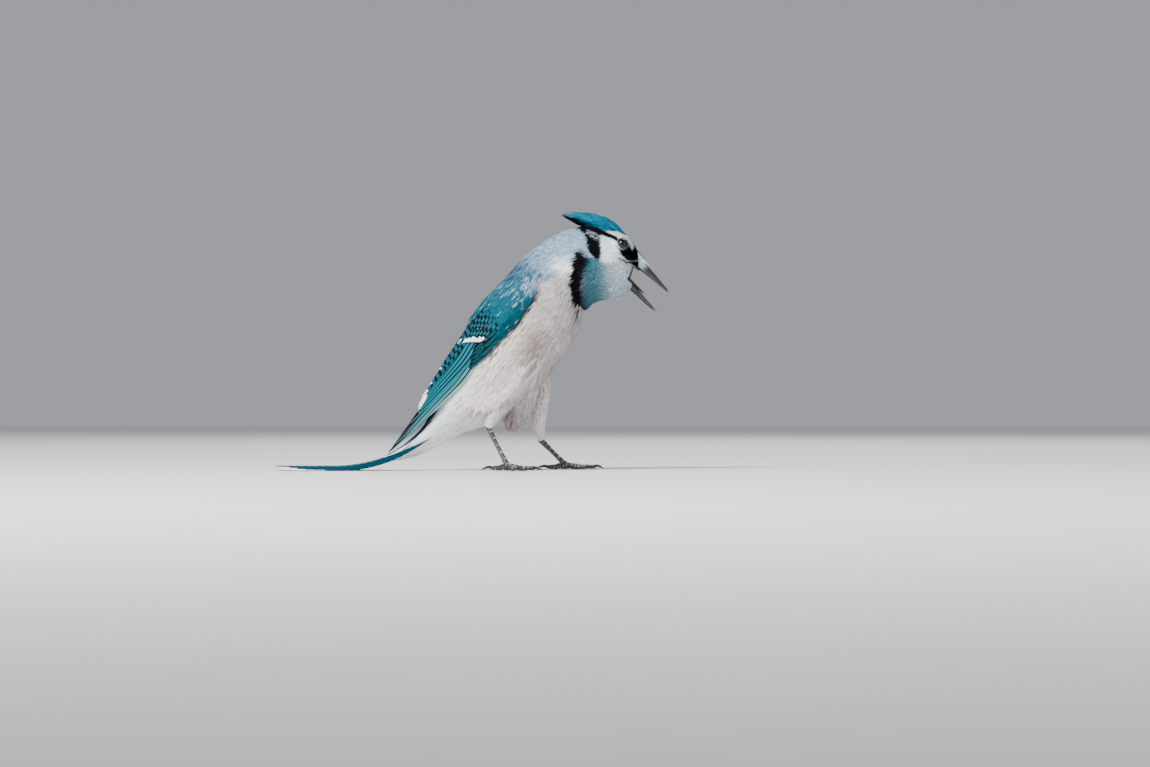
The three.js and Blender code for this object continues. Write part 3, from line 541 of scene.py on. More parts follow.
def two_tone_material(name, surface, grain, codes, relief):
    """A surface whose grain runs between two colours and gives it relief. Scales count to a metre."""
    material, tree, shader = new_material(name)
    shader_values(shader, Roughness=surface[0], Specular_IOR_Level=surface[1])
    kind, values = grain
    place = add_node(tree, "ShaderNodeTexCoord")
    texture = add_node(tree, kind, values=values, links={"Vector": place.outputs["Object"]})
    height = texture.outputs["Distance" if kind == VORONOI else "Fac"]
    colours = add_node(tree, "ShaderNodeValToRGB", links={"Fac": height})
    for element, code in zip(colours.color_ramp.elements, codes):
        element.color = (*linear(code), 1)
    tree.links.new(colours.outputs["Color"], shader.inputs["Base Color"])
    bump = add_node(tree, "ShaderNodeBump", values=dict(zip(("Strength", "Distance"), relief)),
                    links={"Height": height})
    tree.links.new(bump.outputs["Normal"], shader.inputs["Normal"])
    return material


def plumage_material(name, streaked):
    """Contour feathers: matt keratin barbs, each feather's own colour, fine streaks along the barbs."""
    grain = {"Scale": 1.0, "Detail": 3.0, "Roughness": 0.65} if streaked else {"Scale": 900.0, "Detail": 2.0}
    return grained_material(name, (0.85, 0.06), (NOISE, grain), (0.3, 0.7, 0.72, 1.2), (0.5, 0.0003), streaked)


PLUMAGE = plumage_material("matt_feather_barbs", True)
DOWN = plumage_material("down_over_skin", False)
print("nodes of the feathers' and the down's finish:", len(PLUMAGE.node_tree.nodes), len(DOWN.node_tree.nodes))


# %% [markdown]
# ## The skin
# Under its feathers a bird is one smooth skin from bill to tail and down to the ankles. The body,
# the thighs and the ridge that carries the crest are lofted as closed forms, joined, and remeshed
# into one surface. It lies a coat's depth inside the solids' outline, and deeper under the wings.

# %% Limbs
def curve_points(points, at):
    return along(numbered(points), np.asarray(at) * (len(points) - 1))


def limb_point(points, radii, at, turn, out=0.0, flat=1.0):
    """A point on a limb: at 0 to 1 down it, turn round it."""
    p = curve_points(points, at)
    ahead = curve_points(points, np.minimum(np.asarray(at) + NUDGE, 1))
    d = unit(ahead - curve_points(points, np.maximum(np.asarray(at) - NUDGE, 0)))
    side = unit(np.array([0, 1.0, 0]) - d * d[..., 1:2])
    up = np.cross(side, d)
    r = along([[i / (len(radii) - 1), v] for i, v in enumerate(radii)], at) + out
    return p + up * (r * np.cos(turn))[..., None] + side * (r * flat * np.sin(turn))[..., None]


LEGS = {
    "right": dict(side=-1, thigh=[[25, -11.5, 50], [20, -14.6, 40], [16.8, -15.4, 32], [14.4, -15.4, 25.8]],
                  bulk=[8, 6.8, 4.4, 2.0], ankle=[14.2, -15.4, 25], ball=[25.6, -24.5, 3.2], heading=-32),
    "left": dict(side=1, thigh=[[42, 11, 62], [46.4, 12, 48], [44.4, 12.6, 36], [44, 13, 26], [46.2, 13.2, 17.6]],
                 bulk=[7, 4.9, 4.8, 3.8, 1.9], ankle=[46.4, 13.2, 16.6], ball=[59.8, 25, 3.2], heading=18),
}

BELLY_LOBE = dict(line=[[37, 0, 54], [34, 0, 44], [31.5, 0, 35], [30, 0, 27.5]], bulk=[9.5, 9.5, 7.6, 3.6], flat=1.2)

print("right thigh's middle:", limb_point(LEGS["right"]["thigh"], LEGS["right"]["bulk"], 0.5, 0.0).round(1))

# %% Crest ridge
RIDGE = [
    [0, 97, 138.5, 1.5, 4], [1, 91, 143.5, 3, 7], [2, 83.5, 147, 4.4, 8], [3, 75, 149, 4.8, 7],
    [4, 66.5, 151.2, 3.4, 4.6], [5, 58.4, 153.3, 0.7, 0.8],
]


def ridge_point(t, turn, out=0.0):
    """A point on the crest: 0 at the forehead to 1 at its tip, turn 0 on top."""
    at = np.clip(np.asarray(t, float), 0, 1) * 5
    x, z, high, wide = np.moveaxis(along(RIDGE, at), -1, 0)
    ahead = along(RIDGE, np.clip(at + 0.3, 0, 5)) - along(RIDGE, np.clip(at - 0.3, 0, 5))
    length = np.hypot(ahead[..., 0], ahead[..., 1])
    nx, nz = ahead[..., 1] / length, -ahead[..., 0] / length
    lift = (high + out) * np.cos(turn)
    return vectors(x + nx * lift, (wide + out) * np.sin(turn), z + nz * lift)


print("crest's tip:", ridge_point(1.0, 0.0).round(1))

# %% [markdown]
# ## One skin
# The forms overlap like a sculptor's lumps of clay. Exact union joins them, the mouth is cut out as
# a wedge with a rounded gullet behind it, and a voxel remesh of 0.9 mm melts all of it to one skin
# without seams.

# %% Skin mesh
COAT_DEPTH = [[0, 0.6], [3, 1.8], [5, 2.4], [8, 2.4], [10, 2.0], [12, 1.5], [14, 1.0], [16, 0.7], [18, 0.4]]
UNDER_WING_DEPTH = 2.6
SKIN_VOXEL = 0.0009


def only(piece):
    """Selects one object and makes it active."""
    bpy.ops.object.select_all(action="DESELECT")
    piece.select_set(True)
    bpy.context.view_layer.objects.active = piece


def outward(piece):
    """Turns all faces outwards and shades them smooth."""
    only(piece)
    bpy.ops.object.mode_set(mode="EDIT")
    bpy.ops.mesh.select_all(action="SELECT")
    bpy.ops.mesh.normals_make_consistent(inside=False)
    bpy.ops.object.mode_set(mode="OBJECT")
    bpy.ops.object.shade_smooth()


def closed_loft(name, rings):
    """A closed mesh through rings of points, fanned at both ends."""
    rings = np.asarray(rings)
    count, sides = rings.shape[:2]
    points = np.concatenate([rings.reshape(-1, 3), rings[:1].mean(axis=1), rings[-1:].mean(axis=1)])
    quads = loft_faces(count, sides).tolist()
    first, last = count * sides, count * sides + 1
    fans = [[first, (k + 1) % sides, k] for k in range(sides)]
    start = (count - 1) * sides
    fans += [[last, start + k, start + (k + 1) % sides] for k in range(sides)]
    mesh = bpy.data.meshes.new(name)
    mesh.from_pydata(metres(points).tolist(), [], quads + fans)
    mesh.update()
    piece = bpy.data.objects.new(name, mesh)
    bpy.context.scene.collection.objects.link(piece)
    outward(piece)
    return piece


def ring_colours(piece, colour):
    """Stores a loft's colours, with those of its first and last ring for the middles of its ends."""
    point_values(piece, "plumage", np.concatenate([colour.reshape(-1, 3), colour[0, :1], colour[-1, :1]]))


def even_colour(piece, colour):
    point_values(piece, "plumage", np.tile(colour, (len(piece.data.vertices), 1)))


def apply_modifier(piece, kind, **settings):
    only(piece)
    modifier = piece.modifiers.new(kind.title(), kind)
    for key, value in settings.items():
        setattr(modifier, key, value)
    bpy.ops.object.modifier_apply(modifier=modifier.name)


def skin_depth(at, turn):
    surface = body_point(at, turn)
    deep = smooth(under_wing(surface, 0), -1.0, 3.0)
    return -along(COAT_DEPTH, at) - UNDER_WING_DEPTH * deep


def body_form():
    at, turn = round_grid(0.15, 17.85, 150, 88)
    return closed_loft("bird_skin", body_point(at, turn, skin_depth(at, turn)))


GULLET_CENTRE = [96.4, 0, 118.6]
GULLET_RADII = (5.4, 4.8, 3.4)
GAPE_HALF_WIDTH = 10.2


def mouth_forms():
    """The open mouth: a wedge right through the feathers, with the throat behind it."""
    wedge = [side_place(u, v) for u, v in MOUTH]
    rings = [[[x, y, z] for x, z in wedge] for y in (-GAPE_HALF_WIDTH, GAPE_HALF_WIDTH)]
    wedge_form = closed_loft("mouth_form", rings)
    bpy.ops.object.select_all(action="DESELECT")
    bpy.ops.mesh.primitive_uv_sphere_add(segments=32, ring_count=16, radius=1.0, location=metres(GULLET_CENTRE))
    gullet = bpy.context.object
    gullet.scale = [r * MM for r in GULLET_RADII]
    gullet.rotation_euler = (0, math.radians(-42), 0)
    bpy.ops.object.transform_apply(location=True, rotation=True, scale=True)
    return wedge_form, gullet


def make_skin():
    skin = body_form()
    others = []
    at, turn = round_grid(0, 1, 24, 28)
    for leg in LEGS.values():
        shrink = -1.3 * smooth(at, 1.0, 0.6) - 0.35
        others.append(closed_loft("thigh_form", limb_point(leg["thigh"], leg["bulk"], at, turn, shrink)))
    lobe = limb_point(BELLY_LOBE["line"], BELLY_LOBE["bulk"], at, turn, -1.3, BELLY_LOBE["flat"])
    others.append(closed_loft("belly_form", lobe))
    at, turn = round_grid(0, 1, 30, 28)
    others.append(closed_loft("crest_form", ridge_point(at, turn, -0.5)))
    for other in others:
        apply_modifier(skin, "BOOLEAN", operation="UNION", object=other, solver="EXACT")
        bpy.data.objects.remove(other, do_unlink=True)
    for mouth in mouth_forms():
        apply_modifier(skin, "BOOLEAN", operation="DIFFERENCE", object=mouth, solver="EXACT")
        bpy.data.objects.remove(mouth, do_unlink=True)
    only(skin)
    skin.data.remesh_voxel_size = SKIN_VOXEL
    bpy.ops.object.voxel_remesh()
    bpy.ops.object.shade_smooth()
    return skin


def nearest_body_place(p):
    """For free points, the nearest place and turn on the body's surface."""
    at, turn = round_grid(0, BILL_END, 180, 96)
    at, turn = at.ravel(), turn.ravel()
    surface = body_point(at, turn)
    tree = KDTree(len(surface))
    for i, q in enumerate(surface):
        tree.insert(q, i)
    tree.balance()
    found = np.array([tree.find(q)[1] for q in p])
    return at[found], turn[found]


skin = make_skin()
skin_points = np.empty(len(skin.data.vertices) * 3)
skin.data.vertices.foreach_get("co", skin_points)
skin_points = skin_points.reshape(-1, 3) / MM + [LENGTH_MIDDLE, 0, 0]
place, turn = nearest_body_place(skin_points)
skin_colour = plumage(skin_points, place, turn)
u, v = side_view(skin_points)
gullet_gap = np.linalg.norm((skin_points - GULLET_CENTRE) / np.array(GULLET_RADII), axis=1)
mouth_depth = np.maximum(smooth(edge_distance(MOUTH, u, v), -1.6, -0.2), smooth(gullet_gap, 1.3, 1.1))[:, None]
mouth_colour = mix(PALATE_ROSE, MOUTH_DARK, smooth(skin_points[:, 0], 99.5, 95.0)[:, None])
skin_colour = mix(skin_colour, mouth_colour, mouth_depth)
keep(skin, DOWN, ("torso", "neck", "head", "left_thigh", "right_thigh"))
point_values(skin, "plumage", skin_colour * 0.8)
print("skin faces:", len(skin.data.polygons))


# %% [markdown]
# ## Contour feathers
# Each body feather is a soft vane whose barbs part towards the tip. One is cut from a handful of
# narrow fingers, and its corners are laid on the body's own curves, so it bends round the body
# and its tip stands just clear of the feathers behind it. Rows start at the bill and overlap
# towards the tail, as they do on the bird.

# %% Feather tracts
def finger_centres(fingers):
    return np.linspace(-1, 1, fingers + 2)[1:-1]


def finger_pattern(fingers):
    """One feather's corners as (along, across) pairs, with its faces."""
    corners, faces = [], []
    centres = finger_centres(fingers)
    half = 1.25 / fingers
    for c in centres:
        start = len(corners)
        long = 1 - 0.22 * c * c
        for t, w, spread in ((0.0, 1.0, 0.45), (0.42, 1.0, 1.0), (0.74, 0.72, 1.04)):
            corners.append((t * long, c * spread - half * w * spread))
            corners.append((t * long, c * spread + half * w * spread))
        corners.append((long, c * 0.96))
        for k in (0, 2):
            faces.append((start + k, start + k + 1, start + k + 3))
            faces.append((start + k, start + k + 3, start + k + 2))
        faces.append((start + 4, start + 5, start + 6))
    return np.array(corners), np.array(faces), np.repeat(np.arange(fingers), 7)


def surface_steps(surface, at, turn):
    """How many mm one step of place and one of turn move a point."""
    e = NUDGE
    da = np.linalg.norm(surface(at + e, turn) - surface(at - e, turn), axis=-1) / (2 * e)
    dt = np.linalg.norm(surface(at, turn + e) - surface(at, turn - e), axis=-1) / (2 * e)
    return np.maximum(da, 1e-3), np.maximum(dt, 1e-3)


def tract(name, surface, at, turn, length, width, colour, fingers, lift, way=-1, hand=1, sway=0.25, sunk=0.5,
          map_place=None):
    """Feathers with roots at places of a surface, as one mesh. hand is -1 where turn runs clockwise along the way.

    They are thin sheets, open at their edges: walls would more than treble their triangles.
    """
    corners, faces, finger = finger_pattern(fingers)
    if way * hand < 0:
        faces = faces[:, ::-1]
    count = len(at)
    step_at, step_turn = surface_steps(surface, at, turn)
    t = corners[:, 0][None, :] * (1 + 0.16 * rng.normal(size=(count, fingers)))[:, finger]
    s = corners[:, 1][None, :] + rng.normal(0, 0.07, (count, fingers))[:, finger] * corners[:, 0][None, :]
    heading = rng.normal(0, sway, count)[:, None]
    far = np.asarray(length)[:, None] * t
    across = np.asarray(width)[:, None] * 0.5 * s + far * heading * 0.5
    place_at = at[:, None] + way * far / step_at[:, None]
    place_turn = turn[:, None] + across / step_turn[:, None]
    rise = np.broadcast_to(lift, (count,))[:, None]
    out = -sunk + (rise + rng.normal(0, 0.12, count)[:, None]) * t - 0.25 * np.abs(s) ** 2
    ground = surface(place_at, place_turn)
    e = NUDGE
    along_way = surface(place_at + e, place_turn) - surface(place_at - e, place_turn)
    round_way = surface(place_at, place_turn + e) - surface(place_at, place_turn - e)
    normal = hand * unit(np.cross(round_way, along_way))
    points = ground + normal * out[..., None]
    points[..., 2] = np.maximum(points[..., 2], FLOOR_CLEARANCE)
    faces = (faces[None] + (np.arange(count) * len(corners))[:, None, None]).reshape(-1, 3)
    piece = mesh_object(name, points, faces, PLUMAGE)
    # each feather's tone differs at random, and painted shade darkens it towards its root, where the feathers over it
    # cover it
    shade = np.clip(1 + rng.normal(0, 0.07, count), 0.8, 1.2)[:, None] * (0.8 + 0.27 * np.clip(t, 0, 1))
    if colour.ndim == 4:  # one colour for the middle of each finger and one for its tip
        tone = mix(colour[:, 0][:, finger], colour[:, 1][:, finger], smooth(t, 0.35, 0.85)[..., None])
    else:
        tone = colour[:, finger] if colour.ndim == 3 else colour[:, None, :]
    point_values(piece, "plumage", (tone * shade[..., None]).reshape(-1, 3))
    offset = rng.uniform(0, 500, (count, 1))
    map_values(piece, "Vane", np.stack(np.broadcast_arrays(offset + across, far), axis=-1).reshape(-1, 2))
    if map_place is None:
        map_place = np.stack([(turn / (2 * np.pi)) % 1, at / BILL_END], axis=-1)
    patch = np.stack(np.broadcast_arrays(s * 0.0015, (t - 0.5) * 0.003), axis=-1)
    centre = np.clip(map_place, 0.004, 0.996)[:, None, :]
    map_values(piece, "OFBake", (centre + patch).reshape(-1, 2))
    return piece


def rows_on(surface, low, high, length, width, step=0.3, gap=0.42, round_from=0.0, round_to=2 * np.pi):
    """Roots in staggered rows over a surface, spaced by the feathers' own size."""
    at, turn, place = [], [], high
    odd = 0
    while place > low:
        size = float(length(place))
        wide = float(width(place))
        angles = np.linspace(round_from, round_to, 60)
        ring = surface(np.full(60, place), angles)
        girth = np.linalg.norm(np.diff(ring, axis=0), axis=1).sum()
        number = max(4, int(girth / (wide * gap)))
        spots = np.arange(number) + 0.5 * odd + rng.uniform(-0.3, 0.3, number)
        spots = round_from + spots * (round_to - round_from) / number
        step_at, _ = surface_steps(surface, np.array([place]), np.array([1.2]))
        at.append(place + rng.uniform(-0.5, 0.5, number) * step * size / step_at[0])
        turn.append(spots)
        place -= step * size / step_at[0]
        odd = 1 - odd
    return np.concatenate(at), np.concatenate(turn)


# A body feather's length and width in mm, by its root's place from tail to bill
LENGTH = [[0, 13], [3, 16], [5, 14], [8, 12.5], [10, 9.5], [12, 7.5], [13, 5.6], [14, 4.4], [15, 3.4], [16, 2.7],
          [18, 1.8]]
WIDTH = [[0, 6], [3, 7.5], [5, 7.5], [8, 6.5], [10, 5], [12, 3.7], [13, 2.9], [14, 2.3], [15, 1.8], [16, 1.5],
         [18, 1.1]]


def clear_of_features(root):
    """Where feathers may root: off the wings, the mouth and the eyes."""
    u, v = side_view(root)
    off_mouth = (edge_distance(MOUTH, u, v) < -0.6) | (np.abs(root[:, 1]) > GAPE_HALF_WIDTH + 0.4)
    clear = (under_wing(root, 5.0) < 0) & off_mouth
    away = np.hypot(root[:, 0] - EYE_CENTRE[0], root[:, 2] - EYE_CENTRE[2])
    return clear & ((away > 3.05) | (np.abs(root[:, 1]) < 6))


def coat_surface(place, angle):
    place = np.clip(place, 0.0, BILL_END)
    return body_point(place, angle, -0.55 * along(COAT_DEPTH, place))


def body_tract(name, low, high, fingers, sunk, step=0.3, gap=0.42, thin=1.0, ragged=0.6):
    at, turn = rows_on(body_point, low, high, lambda p: thin * along(LENGTH, p),
                       lambda p: thin * along(WIDTH, p), step, gap)
    root = body_point(at, turn)
    clear = clear_of_features(root)
    at, turn, root = at[clear], turn[clear], root[clear]
    length = thin * along(LENGTH, at) * rng.uniform(0.85, 1.15, len(at))
    width = thin * along(WIDTH, at) * rng.uniform(0.9, 1.1, len(at))
    step_at, step_turn = surface_steps(body_point, at, turn)
    seen_at = np.clip(at[:, None] - np.array([0.5, 0.88]) * (length / step_at)[:, None], 0, BILL_END)
    seen_at = seen_at[..., None] + np.zeros(fingers)
    seen_turn = turn[:, None] + width[:, None] * 0.5 * finger_centres(fingers) / step_turn[:, None]
    seen_turn = seen_turn[:, None] + 0 * seen_at
    colour = plumage(body_point(seen_at, seen_turn), seen_at, seen_turn, ragged=ragged)
    tip = body_point(np.clip(at - length / step_at, 0, BILL_END), turn)
    ahead = WING_FRONT - (root - BODY_CENTRE) @ AXIS
    over_wing = 1.7 * smooth(under_wing(tip, 0.0), -1.5, 2.5) * (ahead < 1.0)
    lift = 0.62 * along(COAT_DEPTH, at) + 0.25 + over_wing
    piece = tract(name, coat_surface, at, turn, length, width, colour, fingers, lift, hand=-1, sunk=sunk)
    print(name, "feathers:", len(at), "faces:", len(piece.data.polygons))
    return piece


body_tract("trunk_feathers", 0.6, 9.8, 9, 0.35, step=0.22, gap=0.36)
body_tract("neck_feathers", 9.8, 13.0, 7, 0.3, step=0.24, gap=0.38)
body_tract("cheek_feathers", 13.0, 15.2, 4, 0.2, step=0.25, gap=0.4, thin=0.72, ragged=0.4)
body_tract("face_feathers", 15.2, 17.7, 3, 0.15, step=0.26, gap=0.42, thin=0.66, ragged=0.3)


# %% [markdown]
# ## Thighs
# Short soft feathers sheathe the thigh like a sleeve and end at the bare ankle. They are the same
# vanes, smaller, laid down the limb instead of round the body.

# %% Thigh feathers
def thigh_tract(name, leg):
    at, turn = rows_on(lambda a, t: limb_point(leg["thigh"], leg["bulk"], a, t), 0.05, 0.97,
                       lambda p: 6.5 - 3.6 * p, lambda p: 3.0 - 1.5 * p, step=0.2, gap=0.36)

    def surface(place, angle):
        place = np.clip(place, 0, 1.0)
        return limb_point(leg["thigh"], leg["bulk"], place, angle, -0.6)

    length = (6.5 - 3.6 * at) * rng.uniform(0.8, 1.2, len(at))
    width = (3.0 - 1.5 * at) * rng.uniform(0.9, 1.1, len(at))
    white = mix(BELLY_PALE, VENT_WHITE, np.clip(at[:, None] - 0.3 + rng.normal(0, 0.2, (len(at), 1)), 0, 1))
    # dark specks, which grow denser towards the top of the thigh as painted shade under the belly
    flecked = rng.random((len(at), 7)) < 0.05 + 0.3 * smooth(at, 0.55, 0.1)[:, None]
    colour = mix(white[:, None], BELLY_SHADE, 0.7 * flecked[..., None])
    spot = np.stack([(turn / (2 * np.pi)) % 1 * 0.2 + 0.4 + 0.2 * leg["side"], 0.2 + 0.1 * at], axis=-1)
    return tract(name, surface, at, turn, length, width, colour, 7, 1.0, way=1, sway=0.35, sunk=0.2, map_place=spot)


for name, leg in LEGS.items():
    print(name, "thigh faces:", len(thigh_tract(f"{name}_thigh_feathers", leg).data.polygons))


# %% [markdown]
# ## Flank tufts
# The flank feathers are long and loose and lie over one another in tufts. They stand further off the
# body than the rest, which breaks the light into soft locks.

# %% Flank tufts
# Roots of the long loose feathers that hang over the thighs, on the side view
FLANK = [(553, 350), (561, 360), (550, 373), (532, 383), (514, 391), (500, 402), (486, 406), (474, 402), (488, 388),
         (512, 372), (535, 356)]


FLANK_TRIES, FLANK_COUNT = 9000, 520


def flank_tract(side, name):
    at, turn = rng.uniform(3.5, 9.5, FLANK_TRIES), side * rng.uniform(1.15, 2.35, FLANK_TRIES)
    root = body_point(at, turn)
    gap = edge_distance(FLANK, *side_view(root))
    chosen = (gap > 0) & (under_wing(root, -1.0) < 0)
    at, turn, root = (part[chosen][:FLANK_COUNT] for part in (at, turn, root))
    low = smooth(side_view(root)[1], 350, 405)
    length = mix(11.0, 12.5, low) * rng.uniform(0.8, 1.2, len(at))
    width = rng.uniform(3.0, 4.6, len(at))
    colour = mix(BELLY_PALE, VENT_WHITE, rng.uniform(-0.5, 0.8, (len(at), 8, 1)).clip(0, 1))
    lift = rng.uniform(1.6, 3.4, len(at))
    return tract(f"{name}_flank_tufts", coat_surface, at, turn, length, width, colour, 8, lift,
                 hand=-1, sway=0.3, sunk=0.6)


for side, name in ((-1, "right"), (1, "left")):
    print(name, "flank faces:", len(flank_tract(side, name).data.polygons))


# %% [markdown]
# ## The fringe over the thighs
# The last flank feathers hang free in front of the thigh and end in a soft hem. They could be hairs,
# but a hem of thin vanes holds together better, so they are rows of the same vanes, laid on a curtain
# that hangs from a line drawn along the flank.

# %% Flank fringe
HEM_ROOTS = {
    # side view place and half width of the roots, from the tail end to the bill end
    "right": [[0, 466, 387, 20.6], [12, 484, 393, 21.9], [24, 500, 392, 22.7], [36, 512, 384, 23.9],
              [48, 527, 370, 25.2], [60, 543, 355, 24.2], [66, 550, 348, 22.8]],
    "left": [[0, 466, 387, 20.6], [12, 484, 393, 21.9], [24, 500, 392, 22.7], [36, 514, 386, 23.4],
             [48, 529, 373, 24.2], [60, 544, 358, 23.6], [66, 551, 350, 22.6]],
}
HANG = unit(np.array([-0.42, 0, -0.9]))


def curtain_point(side, name, down, line):
    u, v, half = np.moveaxis(along(HEM_ROOTS[name], line), -1, 0)
    y = half + 0.5 + 0.06 * down - 0.016 * down * down - 3.0 * smooth(line, 46, 64) - 1.5 * smooth(line, 10, 0)
    x, z = side_place(u, v)
    return vectors(x, side * y, z) + down[..., None] * HANG


def flank_hem(side, name):
    down, line = np.meshgrid(np.arange(-6.0, 3.1, 1.5), np.arange(0.5, 66, 1.15), indexing="ij")
    down = down.ravel() + rng.uniform(-0.8, 0.8, down.size)
    line = line.ravel() + rng.uniform(-0.6, 0.6, line.size)
    length = mix(7.5, 10.0, np.exp(-((line - 26) / 18) ** 2)) * rng.uniform(0.75, 1.2, len(line))
    width = rng.uniform(2.6, 3.8, len(line))
    hanging = curtain_point(side, name, down, line)
    colour = plumage(hanging, *nearest_body_place(hanging), ragged=0.5)[:, None]
    colour = mix(colour, BREAST_SHADE, rng.uniform(-0.6, 0.4, (len(line), 8, 1)).clip(0, 1))
    spot = np.stack([0.3 + 0.2 * (side > 0) + 0.001 * line, 0.35 + 0.002 * down], axis=-1)
    return tract(f"{name}_flank_hem", lambda d, s: curtain_point(side, name, d, s), down, line, length, width,
                 colour, 8, 0.9, way=1, hand=side, sway=0.3, sunk=1.0, map_place=spot)


for side, name in ((-1, "right"), (1, "left")):
    print(name, "hem faces:", len(flank_hem(side, name).data.polygons))


# %% [markdown]
# ## Loose strands
# Bristles and single barbs stand free. Hair curves would do it in Blender, but the model is kept as
# meshes, so each strand is a slim three-sided spike with a bend.

# %% Strands
STRAND_LEVELS = np.array([0.0, 0.3, 0.6, 0.85])  # of its rings, from the root
STRAND_WIDTHS = np.array([0.7, 1.0, 0.8, 0.45])


def strands(name, root, tip, thick, colour, bend, spot):
    """Fine three-sided strands from roots to tips, each tapering to a point and bent by some mm."""
    root, tip, bend = np.broadcast_arrays(root, tip, np.asarray(bend, float))
    count = len(root)
    t = STRAND_LEVELS
    line = root[:, None] + (tip - root)[:, None] * t[:, None] + bend[:, None] * (4 * t * (1 - t))[:, None]
    d = unit(tip - root)
    a = unit(np.cross(d, np.broadcast_to([0.13, 0.2, 0.97], d.shape)))
    b = np.cross(d, a)
    angle = np.arange(3) * 2 * np.pi / 3
    radius = np.asarray(thick)[..., None] * STRAND_WIDTHS
    ring = a[:, None, None] * np.cos(angle)[:, None] + b[:, None, None] * np.sin(angle)[:, None]
    body = line[:, :, None] + ring * radius[:, :, None, None]
    points = np.concatenate([body.reshape(count, 12, 3), tip[:, None]], axis=1)
    faces = []
    for k in range(3):
        for i in range(3):
            p, q = k * 3 + i, k * 3 + (i + 1) % 3
            faces += [(p, q, q + 3), (p, q + 3, p + 3)]
    faces += [(9 + i, 9 + (i + 1) % 3, 12) for i in range(3)] + [(0, 2, 1)]
    faces = (np.array(faces)[None] + (np.arange(count) * 13)[:, None, None]).reshape(-1, 3)
    points[..., 2] = np.maximum(points[..., 2], FLOOR_CLEARANCE)
    piece = mesh_object(name, points.reshape(-1, 3), faces, PLUMAGE)
    level = np.concatenate([np.repeat(t, 3), [1.0]])
    # painted shade darkens each strand towards its root
    shade = 0.75 + 0.3 * level
    point_values(piece, "plumage", (np.broadcast_to(colour, (count, 3))[:, None] * shade[:, None]).reshape(-1, 3))
    across = np.concatenate([np.tile([-0.3, 0.3, 0.0], 4), [0.0]])
    length = np.linalg.norm(tip - root, axis=1)[:, None]
    map_values(piece, "Vane", np.stack(np.broadcast_arrays(rng.uniform(0, 500, (count, 1)) + across, length * level),
                                       axis=-1).reshape(-1, 2))
    centre = np.asarray(spot) + rng.uniform(-0.02, 0.02, (count, 1, 2))
    patch = np.stack([across * 0.004, (level - 0.5) * 0.003], axis=-1)
    map_values(piece, "OFBake", (centre + patch).reshape(-1, 2))
    return piece


print("points of a strand:", 3 * len(STRAND_LEVELS) + 1)

# %% [markdown]
# ## The fringe between the legs
# Loose belly feathers hang in a soft lobe behind the far leg, with wispy tips, greyed by painted shade from the body
# above.

# %% Belly fringe
BELLY_FRINGE_COUNT = 320


def belly_fringe():
    """Loose feathers that hang between the legs, in a soft lobe with wispy tips, greyed by painted shade."""
    def lobe(place, angle, out=0.0):
        place = np.clip(place, 0, 1.25)
        return limb_point(BELLY_LOBE["line"], BELLY_LOBE["bulk"], place, angle, out, BELLY_LOBE["flat"])

    at, turn = rows_on(lobe, 0.0, 0.98, lambda p: 8.0, lambda p: 3.2, step=0.2, gap=0.36)
    length = rng.uniform(6.5, 9.5, len(at))
    width = rng.uniform(2.4, 3.6, len(at))
    # painted shade: the lobe hangs in shadow between the legs, so its feathers are greyed
    colour = mix(BELLY_PALE, BELLY_SHADE, rng.uniform(0.15, 0.75, (len(at), 8, 1)))
    spot = np.stack([0.45 + 0.1 * (turn / (2 * np.pi)) % 1, 0.25 + 0.1 * at], axis=-1)
    tract("belly_lobe_feathers", lambda a, b: lobe(a, b, -0.9), at, turn, length, width, colour, 8, 1.0,
          way=1, sunk=0.2, sway=0.35, map_place=spot)
    count = BELLY_FRINGE_COUNT
    share, angle = rng.uniform(0.45, 1.0, count), rng.uniform(0, 2 * np.pi, count)
    root = lobe(share, angle, -1.0)
    drop = [-2.2 + rng.normal(0, 1.0, count), rng.normal(0, 0.8, count), -rng.uniform(4.5, 8.0, count)]
    tip = root + np.stack(drop, axis=-1)
    tip[:, 2] = np.maximum(tip[:, 2], 21.0)
    # painted shade greys the wispy tips too
    colour = mix(BELLY_PALE, BELLY_SHADE, rng.uniform(0, 0.8, (count, 1)))
    return strands("belly_fringe", root, tip, rng.uniform(0.16, 0.34, count), colour, (-0.5, 0, 0.3), (0.5, 0.3))


print("belly fringe faces:", len(belly_fringe().data.polygons))


# %% [markdown]
# ## The crest
# Long narrow feathers start at the forehead and lie back to a point. They are blue above, black
# underneath, and paler where they thin out at the tip.

# %% Crest feathers
def crest_tract():
    at, turn = rows_on(ridge_point, 0.02, 0.9, lambda p: 9.0 + 3 * p, lambda p: 2.6, step=0.16, gap=0.4,
                       round_from=-2.6, round_to=2.6)
    length = (9.0 + 4 * at) * rng.uniform(0.85, 1.1, len(at))
    width = np.full(len(at), 2.6)
    top = mix(CREST_BLUE, CREST_LIGHT, rng.random((len(at), 1)))
    under = smooth(np.abs(turn), 1.45, 1.75)[:, None] * smooth(at, 0.28, 0.45)[:, None]
    top = mix(top, CHEEK_WHITE, 0.5 * smooth(at + rng.normal(0, 0.05, len(at)), 0.68, 0.86)[:, None])
    colour = mix(top, COLLAR_BLACK, under)
    spot = np.stack([0.5 + turn / 12, 0.86 + 0.1 * at], axis=-1)
    return tract("crest_feathers", ridge_point, at, turn, length, width, colour, 6, 0.95, way=1, sway=0.16, sunk=0.6,
                 map_place=spot)


print("crest faces:", len(crest_tract().data.polygons))


# %% [markdown]
# ## Flight feathers
# Wing and tail feathers are stiff: a shaft, a narrow outer web and a wide inner one, closed into
# a smooth blade. Each is a long grid on the folded wing's own surface, lifted at its lower edge
# so that it lies over the one below it. Bars, white tips and dark inner webs follow the feather,
# so they are painted by nodes that read the feather's own map.

